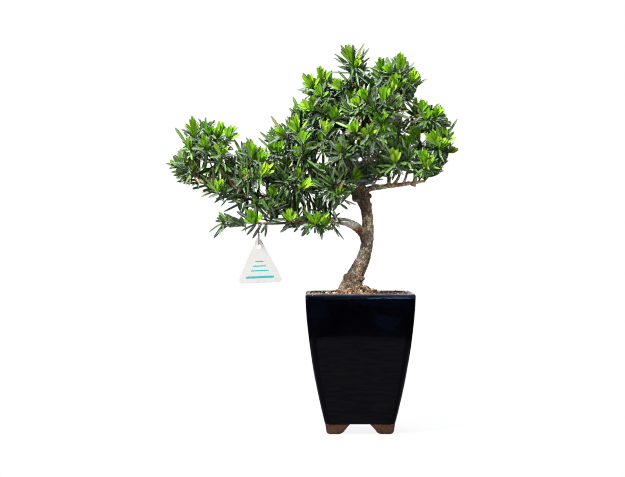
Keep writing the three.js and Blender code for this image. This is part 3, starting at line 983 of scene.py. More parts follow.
# Each mass: its shoots, the share of them that end in new leaves, how far they turn up,
# and the share that has gone olive and rusty.
foliage = named({
    "apex": (6, 0.6, 1.2, 0.02),
    "top_right": (10, 0.5, 1.1, 0.02),
    "top_left": (9, 0.4, 1.0, 0.05),
    "crown_core": (12, 0.3, 0.9, 0.10),
    "front_crown": (15, 0.2, 0.9, 0.12),
    "right_shoulder": (10, 0.4, 1.0, 0.04),
    "right_tip": (11, 0.3, 0.8, 0.08),
    "right_low": (10, 0.1, 0.8, 0.12),
    "left_shoulder": (13, 0.3, 1.0, 0.08),
    "centre": (13, 0.1, 0.7, 0.22),
    "centre_low": (9, 0.1, 0.6, 0.22),
    "middle_low": (12, 0.1, 0.7, 0.15),
    "left_inner": (13, 0.2, 1.0, 0.25),
    "left_outer": (10, 0.4, 1.2, 0.10),
    "left_tip": (8, 0.1, 0.4, 0.40),
    "left_under": (13, 0.1, 0.6, 0.35),
    "left_lower": (9, 0.0, 0.4, 0.20),
    "low_near": (6, 0.1, 0.3, 0.05),
    "low_far": (3, 0.0, 0.1, 0.15),
    "back_left": (20, 0.5, 0.9, 0.06),
    "back_right": (21, 0.5, 0.9, 0.06),
    "back_low": (15, 0.2, 0.6, 0.12),
}, "shoots", "fresh", "rise", "worn")
# The tufts of new leaves that stand out at the front: across, up, size, lean to the right in degrees,
# colour, and how far its leaves spread.
frontTufts = [
    (-178, 331, 1.5, 0, "light", 0.5), (-183, 314, 0.8, 0, "light", 0.4), (-166, 316, 1, 5, "light"),
    (-153, 328, 1.1, 8, "green", 0.5), (-161, 327, 0.6, -5, "green"), (-142, 325, 0.9, 0, "green"),
    (-149, 308, 0.75, 5, "light"), (-117, 307, 1.2, -3, "green", 0.8), (-107, 301, 0.9, -5, "green"),
    (-105, 286, 1.1, 3, "yellow", 1.2), (-152, 268, 0.85, 5, "light"), (-95, 262, 0.9, -10, "green"),
    (-189, 296, 0.8, -25, "olive"), (-179, 289, 0.8, 5, "olive"), (-71, 334, 1.1, -28, "light"),
    (-84, 326, 0.75, -15, "light"), (-86, 310, 0.8, 5, "green"), (-56, 354, 0.95, -28, "light"),
    (-48, 358, 0.85, 5, "green", 0.6), (-29, 347, 0.9, -8, "green"), (-33, 332, 0.8, 10, "light"),
    (-41, 322, 0.75, 0, "green"), (-59, 321, 0.8, 18, "green"), (-55, 308, 0.8, 8, "light"),
    (-81, 291, 0.95, 5, "light"), (-8, 330, 0.7, -25, "green"), (-41, 287, 0.7, 0, "green"),
    (-6, 280, 0.75, 5, "green"), (-10, 410, 1.1, -8, "light"), (-2, 400, 0.6, 10, "yellow"),
    (-23, 378, 0.8, -25, "light"), (-15, 364, 1, -48, "green"), (-3, 358, 0.75, -20, "light"),
    (5, 366, 0.7, -10, "green"), (25, 398, 1.15, 4, "green", 0.5), (12, 374, 0.9, -22, "green"),
    (24, 366, 0.9, -25, "green", 0.6), (32, 372, 1.2, 4, "yellow", 0.6), (40, 381, 0.95, 12, "green"),
    (43, 402, 1.2, 0, "light", 0.4), (55, 387, 0.9, -5, "light", 0.6), (31, 394, 0.7, -12, "green"),
    (61, 353, 1.1, 2, "green"), (70, 353, 0.7, 30, "green"), (83, 349, 0.95, 5, "light"),
    (76, 344, 0.7, 20, "green"), (81, 321, 1.2, -12, "green"), (94, 323, 1, 12, "green"),
    (89, 314, 0.8, 25, "light"), (49, 316, 0.75, -20, "green"), (59, 324, 1, -25, "green"),
    (5, 323, 0.8, -25, "light"), (11, 329, 0.8, 8, "light"), (20, 342, 0.95, -20, "green"),
    (26, 331, 0.8, 8, "light"), (38, 301, 0.9, 2, "yellow", 0.75), (73, 295, 0.95, 10, "light"),
    (67, 300, 0.8, -20, "green"), (102, 304, 0.6, 65, "olive"), (-47, 236, 1.45, 0, "light", 0.75),
    (-36, 231, 1.0, 22, "green", 0.7), (-76, 236, 0.8, -15, "light"), (-116, 235, 1, -20, "green"),
    (-60, 270, 0.85, 5, "light"), (-53, 382, 1, -5, "light"), (-42, 388, 0.9, 0, "green", 0.7),
    (-45, 370, 0.7, -30, "green"), (-96, 308, 0.8, -35, "green"), (-67, 305, 0.7, -10, "green"),
    (-21, 309, 0.6, 0, "olive"), (-125, 281, 0.6, 20, "olive"), (-138, 286, 0.8, 5, "olive"),
    (-68, 281, 0.7, -10, "olive"), (-23, 262, 0.6, 10, "green"),
]
# Shoots without new leaves that fill the front between the tufts: across, up, lean.
plainShoots = [
    (-4, 374, -20), (8, 382, 15), (4, 366, 25), (-18, 380, -35), (-79, 250, 10), (-70, 248, -15),
    (56, 366, 35), (50, 372, 20), (72, 281, 40), (82, 283, 55), (-112, 262, -10), (-44, 252, 15),
    (-67, 350, -20), (-14, 256, 30), (-24, 247, 25), (-132, 226, -60), (-133, 244, -40), (-40, 246, -30),
    (22, 390, 10), (-32, 380, -10), (19, 287, -20), (-30, 388, 5), (-14, 384, -25), (-158, 284, -10),
    (-137, 293, 10), (-118, 313, -10), (-30, 229, 60), (-36, 224, 110),
]
# The crown's outline and the gaps where sky shows, seen from the front and level with the pot's middle:
# across and up, then for a gap its half width and half height.
crownOutline = [
    (-17, 421), (-10, 422), (-2, 419), (5, 419), (8, 410), (5, 402), (7, 395), (14, 400), (19, 407),
    (27, 407), (34, 404), (40, 409), (44, 414), (50, 410), (55, 397), (62, 397), (68, 388), (69, 380),
    (63, 371), (61, 364), (64, 364), (68, 359), (75, 355), (80, 356), (88, 357), (93, 349), (96, 341),
    (101, 337), (100, 328), (99, 318), (101, 309), (98, 303), (96, 296), (93, 290), (91, 282), (82, 278),
    (70, 274), (50, 276), (39, 273), (14, 269), (5, 267), (-3, 262), (-12, 257), (-21, 251), (-27, 244),
    (-31, 238), (-21, 236), (-10, 231), (-10, 225), (-19, 220), (-27, 219), (-36, 216), (-42, 210),
    (-47, 214), (-58, 211), (-62, 215), (-69, 219), (-75, 221), (-84, 218), (-86, 222), (-97, 225),
    (-102, 216), (-106, 214), (-110, 216), (-116, 210), (-121, 213), (-128, 218), (-134, 222), (-142, 220),
    (-150, 214), (-157, 210), (-163, 216), (-159, 223), (-156, 231), (-152, 238), (-145, 236), (-134, 232),
    (-128, 234), (-132, 239), (-126, 243), (-134, 248), (-145, 248), (-154, 250), (-167, 255), (-173, 257),
    (-182, 262), (-191, 269), (-199, 271), (-200, 276), (-208, 282), (-211, 291), (-204, 298), (-197, 306),
    (-191, 310), (-189, 318), (-193, 324), (-197, 330), (-191, 334), (-188, 341), (-173, 341), (-166, 336),
    (-156, 339), (-148, 336), (-142, 333), (-134, 331), (-134, 319), (-129, 315), (-122, 321), (-117, 317),
    (-111, 309), (-106, 309), (-99, 306), (-97, 310), (-106, 318), (-105, 324), (-96, 330), (-92, 339),
    (-85, 336), (-80, 344), (-73, 342), (-74, 352), (-71, 360), (-66, 356), (-61, 361), (-57, 365),
    (-65, 370), (-61, 378), (-58, 384), (-48, 385), (-41, 393), (-31, 385), (-23, 384), (-15, 382),
    (-8, 384), (-13, 390), (-21, 395), (-24, 404), (-23, 410), (-20, 418),
]
crownGaps = [
    (-11, 244, 12, 8.72), (26, 273, 9.81, 4.36), (44, 274, 6.54, 4.36), (70, 322, 4.91, 6.54),
    (49, 327, 3.82, 3.82), (-24, 388, 6.54, 3.27), (-106, 312, 5.45, 3.27), (-145, 323, 2.18, 5.45),
    (-98, 299, 2.73, 8.72), (35, 400, 2.18, 5.45), (-31, 247, 2.73, 5.45), (-56, 246, 2.73, 4.36),
    (-45, 243, 2.18, 3.27), (-37, 246, 2.18, 4.36), (-136, 310, 3.27, 3.27), (-131, 313, 2.18, 5.45),
    (6, 303, 4.36, 3.27), (-98, 236, 4.36, 3.27), (-90, 236, 3.27, 2.18), (-74, 264, 3.27, 4.36),
    (-134, 238, 9.81, 4.36), (-6, 371, 4.36, 4.36), (8, 340, 3.27, 4.36), (-27, 306, 3.27, 3.27),
    (-165, 289, 3.27, 3.27), (-158, 268, 2.73, 4.36),
]
tuftRules = {
    "plane": -15,  # the tufts' places are given for a plane this far from the pot's middle
    "scale": 1.04,
    "plainSize": 0.9,
    "margin": 6,  # how far past a mass's box a tuft may be
    "step": 2.0,
    "tuftDepth": 0,  # how deep in its mass a tuft stands
    "plainDepth": 8,
    "forward": -0.22,
    "stray": 0.06,
    "length": 6.5,  # from the shoot's tip to the middle of its tuft
    "toward": (-0.2, -0.8, 0.5),
}
shootRules = {
    "tries": 4000,
    "apart": 12.0,
    "shallow": 6,
    "deep": 20,
    "more": 0.7,
    "clearView": (8, 13, -4),  # nothing stands this far below, round and in front of a front tuft
    "flatter": (1, 1, 0.7),
    "outward": 0.3,
    "away": 0.45,
    "stray": 0.25,
    "freshOnTop": 1.2,
    "freshBelow": 0.4,
    "freshInFront": 0.02,
    "front": 10,
    "kinds": {"light": 0.4, "green": 0.45, "yellow": 0.15},
    "size": (0.75, 1.1),
    "back": 8,  # behind this the leaves face backwards
    "face": (0.6, 0.8, 0.3),  # how far they face out of the mass, forwards or backwards, and up
}


def nearestOnMass(node, point):
    # the normal of a mass's CAD surface next to a point, and how deep inside the mass the point lies
    _, place, normal, _ = node.closest_point_on_mesh(Vector(toFrame(point)))
    normal = np.array(normal)
    return normal, float(np.dot(fromFrame(place) - point, normal))


def seenInCrown(points):
    # true for points that the front view shows inside the outline and outside the gaps
    shrink = view["distance"] / (view["distance"] + points[:, 1])
    x = ((points[:, 0] - view["cameraX"]) * shrink + view["cameraX"])[:, None]
    z = ((points[:, 2] - view["height"]) * shrink + view["height"])[:, None]
    x0, z0 = np.array(crownOutline, float).T
    x1, z1 = np.roll(crownOutline, -1, axis=0).T
    level = np.where(z1 == z0, 1e-6, z1 - z0)
    crossed = ((z0 > z) != (z1 > z)) & (x < (x1 - x0) * (z - z0) / level + x0)
    gapX, gapZ, halfX, halfZ = np.array(crownGaps).T
    inGap = ((x - gapX) / halfX) ** 2 + ((z - gapZ) / halfZ) ** 2 < 1
    return (crossed.sum(1) % 2 == 1) & ~inGap.any(1)


def massBox(name):
    low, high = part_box(name)
    return fromFrame(low), fromFrame(high)


def frontMassAt(x, z, depthWanted):
    # steps in from the front until the place lies deep enough in a mass, and names the first such mass
    found = []
    gaps = []
    for name in foliage:
        if name.startswith("back"):
            continue
        low, high = massBox(name)
        middle = (low + high) / 2
        gaps.append((math.hypot(middle[0] - x, middle[2] - z), middle[1], name))
        margin = tuftRules["margin"]
        if not (low[0] - margin < x < high[0] + margin and low[2] - margin < z < high[2] + margin):
            continue
        for y in np.arange(low[1], high[1], tuftRules["step"]):
            if nearestOnMass(frame["nodes"][name], np.array([x, y, z]))[1] > depthWanted:
                found.append((y, name))
                break
    return min(found, key=lambda place: place[0]) if found else min(gaps)[1:]


def placeFrontTufts():
    t = tuftRules
    listed = [(x, z, size * t["scale"], *rest, 1.0)[:6] for x, z, size, *rest in frontTufts]
    listed += [(x, z, t["plainSize"], lean, "", 1.0) for x, z, lean in plainShoots]
    placed = []
    for x, z, size, lean, color, spread in listed:
        y, name = frontMassAt(x, z, t["tuftDepth"] if color else t["plainDepth"])
        lean = math.radians(lean)
        heading = np.array([math.sin(lean), t["forward"], math.cos(lean)])
        heading = unit(heading + draw.normal(size=3) * t["stray"])
        near = 1 + (y - t["plane"]) / view["distance"]
        tip = np.array([(x - view["cameraX"]) * near + view["cameraX"], y,
                        (z - view["height"]) * near + view["height"]]) - heading * t["length"] * size
        placed.append({"mass": name, "tip": tip, "heading": heading, "size": size, "new": color,
                       "main": bool(color), "spread": spread, "toward": unit(t["toward"])})
    return placed


def placeShoots():
    s = shootRules
    placed = placeFrontTufts()
    tips = np.array([shoot["tip"] for shoot in placed])
    below, clear, behind = s["clearView"]
    out, ahead, rise = s["face"]
    for name, mass in foliage.items():
        low, high = massBox(name)
        middle = (low + high) / 2
        made = 0
        for _ in range(s["tries"]):
            if made == int(mass["shoots"] * s["more"]):
                break
            tip = draw.uniform(low, high)
            normal, depth = nearestOnMass(frame["nodes"][name], tip)
            if not s["shallow"] < depth < s["deep"]:
                continue
            if np.linalg.norm(tips - tip, axis=1).min() < s["apart"]:
                continue
            before = tips[:len(frontTufts)] - tip  # keep clear of the view of a front tuft
            if ((np.hypot(before[:, 0], before[:, 2] + below) < clear) & (before[:, 1] > behind)).any():
                continue
            away = unit((tip - middle) * np.array(s["flatter"]))
            heading = unit(normal * s["outward"] + away * s["away"] + up * mass["rise"]
                           + draw.normal(size=3) * s["stray"])
            chance = mass["fresh"] * (s["freshOnTop"] if normal[2] > 0 else s["freshBelow"])
            if tip[1] < s["front"]:
                chance *= s["freshInFront"]
            new = ""
            if draw.random() < chance:
                new = str(draw.choice(list(s["kinds"]), p=list(s["kinds"].values())))
            toward = unit(normal * out + np.array([0, -ahead if tip[1] < s["back"] else ahead, rise]))
            placed.append({"mass": name, "tip": tip, "heading": heading, "size": draw.uniform(*s["size"]),
                           "new": new, "main": False, "spread": 1.0, "toward": toward})
            tips = np.vstack([tips, tip])
            made += 1
    return placed


shoots = placeShoots()
print("shoots placed:", len(shoots))


growth = {
    "step": 5.0,  # length of one stretch of twig
    "backwards": 0.55,  # how much a twig dislikes turning back
    "crooked": 0.5,  # arriving from the side
    "falling": 0.5,  # and growing downwards
    "nearest": 9,  # no shoot hangs on wood closer than this
    "follow": 0.6,  # how far it leaves along the limb that carries it
    "leave": 0.35,  # how far each end of its curve pulls, as a share of its reach
    "arrive": 0.42,
    "arriveMost": 22,
    "wander": 0.9,
    "leafyEnd": 16.0,  # no twig forks off this close to a tip
    "tipRadius": 0.55,
    "thicken": 0.42,
    "collar": 1.25,
    "around": 6,
}
twigFinish = {
    "roughness": 0.8,
    "cloudScale": 90.0,
    "body": ((0.3, (0.100, 0.050, 0.030)), (0.7, (0.26, 0.16, 0.09))),
    "grit": (700.0, 3.0),
    "bump": (0.5, 0.3),
}


def makeTwigBark():
    t = twigFinish
    twig = Finish("twigBark", Roughness=t["roughness"])
    twig.color(twig.ramp(twig.noise(t["cloudScale"]), *t["body"]))
    twig.bump(twig.noise(*t["grit"]), *t["bump"])
    return twig.material


class Wood:
    # the places that a new twig can fork from
    def __init__(self):
        self.place = []
        self.way = []
        self.open = []
        self.parent = []
        self.tips = []

    def add(self, place, way, parent, isOpen):
        self.place.append(place)
        self.way.append(way)
        self.parent.append(parent)
        self.open.append(isOpen)
        self.tips.append(0)
        return len(self.place) - 1


def forkFor(wood, tip, heading):
    # the cheapest place to fork from, and a curved path from there to the tip
    g = growth
    places = np.array(wood.place)
    ways = np.array(wood.way)
    gap = tip - places
    distance = np.linalg.norm(gap, axis=1)
    agree = (gap * ways).sum(1) / np.maximum(distance, 1e-6)
    arrive = (gap @ heading) / np.maximum(distance, 1e-6)
    cost = distance * (1 + g["backwards"] * (1 - agree) / 2 + g["crooked"] * (1 - arrive) / 2)
    cost += g["falling"] * np.maximum(-gap[:, 2], 0)
    cost[~np.array(wood.open) | (distance < g["nearest"])] = math.inf
    start = int(np.argmin(cost))
    reach = distance[start]
    leave = unit(unit(gap[start]) + g["follow"] * ways[start])
    t = np.linspace(0, 1, max(int(reach / g["step"]), 3) + 1)[:, None]
    a = places[start]
    b = a + leave * reach * g["leave"]
    c = tip - heading * min(reach * g["arrive"], g["arriveMost"])
    path = (1 - t)**3 * a + 3 * (1 - t)**2 * t * b + 3 * (1 - t) * t**2 * c + t**3 * tip
    wander = draw.normal(size=path.shape) * g["wander"]
    wander[0] = wander[-1] = 0
    return start, path + wander


def growTwigs():
    wood = Wood()
    for name, limb in limbs.items():
        if name == "trunk":
            continue
        length = wayAlong(np.array(limb["path"], float))[-1]
        path = smoothPath(limb["path"], max(int(length / growth["step"]), 3))
        for k, way in enumerate(unit(np.gradient(path, axis=0))):
            wood.add(path[k], way, -1, k > 1)
    limbCount = len(wood.place)
    limbPlaces = np.array(wood.place)
    twigs = []
    for shoot in sorted(shoots, key=lambda shoot: np.linalg.norm(limbPlaces - shoot["tip"], axis=1).min()):
        start, path = forkFor(wood, shoot["tip"], shoot["heading"])
        ways = unit(np.gradient(path, axis=0))
        indices = [start]
        for place, way in zip(path[1:], ways[1:]):
            isOpen = np.linalg.norm(place - shoot["tip"]) > growth["leafyEnd"]
            indices.append(wood.add(place, way, indices[-1], isOpen))
        twigs.append((path, indices))
        shoot["path"] = path
    for path, indices in twigs:  # each tip is carried by everything below it
        at = indices[-1]
        while at >= limbCount:
            wood.tips[at] += 1
            at = wood.parent[at]
    tubes = []
    for path, indices in twigs:
        carried = np.array([wood.tips[j] for j in indices], float)
        carried[0] = carried[1]
        radii = growth["tipRadius"] * carried ** growth["thicken"]
        radii[0] *= growth["collar"]
        tubes.append(tube(path, radii, growth["around"]))
    piece = meshFromLists("twigs", *joinTubes(tubes), [makeTwigBark()])
    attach(piece, "root")
    print("twigs grown:", len(twigs))
    return np.array(wood.place)


woodPlaces = growTwigs()


# Leaf colours are plain, and dealt out by spray.
leafColors = {
    "deep": (0.036, 0.078, 0.022),
    "dark": (0.068, 0.155, 0.030),
    "blue": (0.150, 0.222, 0.170),
    "cool": (0.105, 0.185, 0.125),
    "mid": (0.145, 0.305, 0.036),
    "fresh": (0.180, 0.410, 0.028),
    "olive": (0.205, 0.225, 0.050),
    "rust": (0.225, 0.122, 0.075),
    "slate": (0.052, 0.086, 0.053),
    "slateLight": (0.135, 0.175, 0.120),
    # the old leaves' pale midrib: partly their real paler rib, partly a painted sheen line
    "oldRib": (0.28, 0.37, 0.21),
    "lime": (0.240, 0.510, 0.012),
    "limeLight": (0.325, 0.590, 0.014),
    "limeYellow": (0.410, 0.640, 0.026),
    "limeDeep": (0.165, 0.400, 0.014),
    "limeRib": (0.560, 0.780, 0.080),
}
leafGloss = {
    "roughness": 0.34,
    "specular": 0.62,
    "sheen": 0.08,
    "sheenTint": (0.70, 0.86, 1.0, 1.0),
    "newRougher": 0.08,
    "newDuller": 0.6,
}


def makeLeafColor(name):
    g = leafGloss
    new = name.startswith("lime")
    return plainMaterial("leaf" + name[0].upper() + name[1:],
                         Base_Color=(*leafColors[name], 1),
                         Roughness=g["roughness"] + (g["newRougher"] if new else 0.0),
                         Specular_IOR_Level=g["specular"] * (g["newDuller"] if new else 1.0),
                         Sheen_Weight=0.0 if new else g["sheen"],
                         Sheen_Tint=g["sheenTint"])


leafMaterials = [makeLeafColor(name) for name in leafColors]
leafSlots = {name: k for k, name in enumerate(leafColors)}
print("leaf colours made")


leafShape = {
    "stations": np.array([0, 0.08, 0.25, 0.54, 0.80, 0.94, 1.0]),
    "rib": 0.15,  # width of the midrib as a share of the leaf's
    "fold": 0.40,  # how far the edges stand above the midrib
    "ribRise": 0.05,
    "footRings": 2,  # the foot's colour reaches this far
}
# A leaf's face turns partly along its shoot and partly out of the crown.
oldLeaves = {
    "new": False,
    "count": 30,
    "length": (17, 29),
    "width": (2.4, 3.5),
    "stretch": 38,
    "turn": (0.7, 0.5),
    "lean": (80, 30),
    "bend": (-0.22, 0.04),
    "outline": (0.24, 0.50, 0.86, 1.0, 0.84, 0.50, 0.14),
    "sink": 0.0,
}
newLeaves = {
    "new": True,
    "count": (7, 9),
    "length": (15, 21),
    "width": (3.8, 4.7),
    "stretch": 6,
    "turn": (0.35, 0.9),
    "lean": (50, 5),
    "bend": (0.02, 0.18),
    "outline": (0.28, 0.52, 0.84, 1.0, 0.90, 0.60, 0.20),
    "sink": 0.0,
}
# Below a front tuft the old leaves spread wide and hang.
tuftLeaves = {**oldLeaves, "lean": (88, 48), "sink": 0.7}
sprayRules = {
    "golden": math.radians(137.5),
    "start": 6.28,  # the spiral starts anywhere in a full turn
    "stray": 0.15,
    "leanStray": 7,
    "sideways": (1, 0.5, 1),  # a tuft that stands out spreads to both sides
    "spread": (0.75, 1.05),
    "newUp": 0.35,  # new leaves all point upwards
    "faceStray": 0.25,
    "paintedShadeFoot": (1.3, 0.25),  # painted shade: the lower, inner leaves of a shoot get the darkest colour
    "tries": 4,
    "shorter": 0.82,
    "middle": 0.55,
    "wayReach": 2,  # the way of a shoot is taken this far ahead and behind
}
# No spray crosses this stretch in front of the label, and below singleTop single leaves hang behind it.
labelReach = {"x": -109, "side": 24, "top": 231, "singleTop": 223, "y": -9}


class LeafHeap:
    # leaves are gathered here, then made into one mesh
    def __init__(self):
        self.parts = {key: [] for key in ("base", "way", "face", "length", "width", "bend", "outline",
                                          "blade", "rib", "foot")}

    def add(self, leaves):
        for key, values in leaves.items():
            self.parts[key].append(values)

    def make(self, name):
        data = {key: np.concatenate(part) for key, part in self.parts.items()}
        count = len(data["length"])
        stations = leafShape["stations"]
        rib, fold, ribRise = (leafShape[key] for key in ("rib", "fold", "ribRise"))
        # four points across a leaf at each station
        t = stations[None, :, None, None]
        share = data["outline"][:, :, None, None]
        across = np.array([-1, -rib, rib, 1])[None, None, :, None]
        raised = np.array([fold, ribRise, ribRise, fold])[None, None, :, None]
        side = unit(np.cross(data["way"], data["face"]))
        length, width, bend = (data[key][:, None, None, None] for key in ("length", "width", "bend"))
        half = width / 2
        points = (data["base"][:, None, None] + data["way"][:, None, None] * length * t
                  + data["face"][:, None, None] * (bend * length * t**2 + raised * half * share)
                  + side[:, None, None] * (across * half * share))
        quads = []
        rules = []
        for ring in range(len(stations) - 1):
            for column in range(3):
                a = ring * 4 + column
                quads.append((a, a + 1, a + 5, a + 4))
                rules.append("rib" if column == 1 else "foot" if ring < leafShape["footRings"] else "blade")
        faces = np.array(quads)[None] + (np.arange(count) * len(stations) * 4)[:, None, None]
        paint = np.stack([data[rule] for rule in rules], 1)
        piece = meshFromArrays(name, points.reshape(-1, 3), faces.reshape(-1, 4), paint.ravel(),
                               leafMaterials)
        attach(piece, "root")
        print(name, count, "leaves,", count * len(quads) * 2, "triangles")
        return piece


def alongPath(path, fromTip):
    # places and ways on a path at distances back from its tip
    back = path[::-1]
    ahead = pointsAt(back, np.maximum(fromTip - sprayRules["wayReach"], 0))
    behind = pointsAt(back, fromTip + sprayRules["wayReach"])
    return pointsAt(back, fromTip), unit(ahead - behind)


def setSpray(heap, path, kind, count, scale, mix, toward, lift, shorten=0.25, spread=0.0, rib="oldRib",
             foot=None):
    # one spiral of leaves on the end of a shoot; a tuft that stands out has a spread, and keeps every leaf
    s = sprayRules
    k = np.arange(count)
    share = (k + 0.5) / count
    base, axis = alongPath(path, kind["stretch"] * scale * (1 - share))
    sideA = unit(np.cross(axis, [0.2, 0.35, 0.91]))  # a direction that few shoots follow
    sideB = np.cross(axis, sideA)
    turn = k * s["golden"] + draw.uniform(0, s["start"]) + draw.normal(size=count) * s["stray"]
    outward = np.cos(turn)[:, None] * sideA + np.sin(turn)[:, None] * sideB
    leanLow, leanHigh = kind["lean"]
    lean = np.radians(leanLow + (leanHigh - leanLow) * share + draw.normal(size=count) * s["leanStray"])
    if spread:
        outward = unit(outward * np.array(s["sideways"]))
        lean *= spread * draw.uniform(*s["spread"])
    way = axis * np.cos(lean)[:, None] + outward * np.sin(lean)[:, None]
    way = unit(way + up * lift)
    way[:, 2] -= kind["sink"] * np.maximum(-way[:, 1], 0)
    way = unit(way)
    if kind["new"]:
        way[:, 2] = np.maximum(way[:, 2], s["newUp"])
        way = unit(way)
    along, outwards = kind["turn"]
    face = axis * along + toward * outwards + draw.normal(size=(count, 3)) * s["faceStray"]
    face = unit(face - way * (face * way).sum(1, keepdims=True))
    length = draw.uniform(*kind["length"], count) * scale * (1 - shorten * share)
    width = draw.uniform(*kind["width"], count)
    bend = draw.uniform(*kind["bend"], count)
    pick = draw.choice(len(mix), size=count, p=[part for _, part in mix])
    blade = np.array([leafSlots[mix[j][0]] for j in pick])
    if not kind["new"]:
        # painted shade: lower leaves, deeper in the crown, take the deep colour
        steep, least = s["paintedShadeFoot"]
        blade[draw.random(count) > share * steep + least] = leafSlots["deep"]
    # a leaf that would stand out of the crown or across a gap is shorter, or not there
    fits = np.full(count, spread > 0)
    for _ in range(s["tries"]):
        tip = base + way * length[:, None] + face * (bend * length)[:, None]
        middle = base + way * (length * s["middle"])[:, None]
        fits |= seenInCrown(tip) & seenInCrown(middle)
        length = np.where(fits, length, length * s["shorter"])
    byLabel = (np.abs(tip[:, 0] - labelReach["x"]) < labelReach["side"]) & (tip[:, 2] < labelReach["top"])
    fits &= ~(byLabel & (tip[:, 1] < labelReach["y"]))
    leaves = {"base": base, "way": way, "face": face, "length": length, "width": width, "bend": bend,
              "outline": np.tile(kind["outline"], (count, 1)), "blade": blade,
              "rib": np.full(count, leafSlots[rib]),
              "foot": np.full(count, leafSlots[foot]) if foot else blade}
    heap.add({key: values[fits] for key, values in leaves.items()})


softTip = [("mid", 0.6), ("dark", 0.3), ("fresh", 0.1)]
oldMixes = [
    [("deep", 0.3), ("dark", 0.4), ("slate", 0.3)],
    [("dark", 0.5), ("slateLight", 0.3), ("mid", 0.2)],
    [("cool", 0.4), ("slateLight", 0.4), ("dark", 0.2)],
    [("mid", 0.5), ("slateLight", 0.25), ("cool", 0.15), ("fresh", 0.1)],
]
oldMixShares = [0.30, 0.24, 0.26, 0.20]
wornMixes = [
    [("olive", 0.45), ("mid", 0.35), ("dark", 0.2)],
    [("olive", 0.4), ("rust", 0.25), ("dark", 0.35)],
]
newMixes = {
    "light": [("limeLight", 0.55), ("lime", 0.45)],
    "yellow": [("limeYellow", 0.6), ("limeLight", 0.4)],
    "green": [("lime", 0.55), ("limeDeep", 0.45)],
    "olive": [("limeDeep", 0.3), ("olive", 0.7)],
}
regions = {
    "Crown": ("apex", "top_right", "top_left", "crown_core", "front_crown"),
    "Right": ("right_shoulder", "right_tip", "right_low", "centre", "centre_low"),
    "Left": ("left_shoulder", "middle_low", "left_inner", "left_outer", "left_tip", "left_under"),
    "Low": ("left_lower", "low_near", "low_far"),
    "Back": ("back_left", "back_right", "back_low"),
}
# How each shoot's leaves are drawn. The low bough is thinner, flatter and darker.
shootLeaves = {
    "worn": 1.2,
    "wornUnderTuft": 0.4,
    "scale": (0.9, 1.12),
    "count": (0.8, 1.2),
    "lowCount": 0.6,
    "lift": 0.12,
    "lowLift": 0.02,
    "shorten": 0.2,
    "shortenUnderTuft": 0.35,
    "moreInTuft": 2,
    "tuftLift": 0.05,
    "softCount": 6,
    "softSize": 0.85,
    "softLift": 0.1,
}
# Sprays that run along a limb's outer end.
limbSprays = named({
    "left_edge_twig": ("left_under", 88, 46, 0.72),
    "right_end_twig": ("right_tip", 40, 30, 0.8),
    "left_inner_twig": ("left_under", 16, 14, 0.8),
}, "mass", "stretch", "count", "scale")
limbSprayRules = {
    "steps": 60,
    "toward": np.array([0.0, -0.95, 0.3]),
    "lift": 0.05,
    "shorten": 0.1,
    "outerPart": 0.5,  # how much of the stretch the second run covers
}
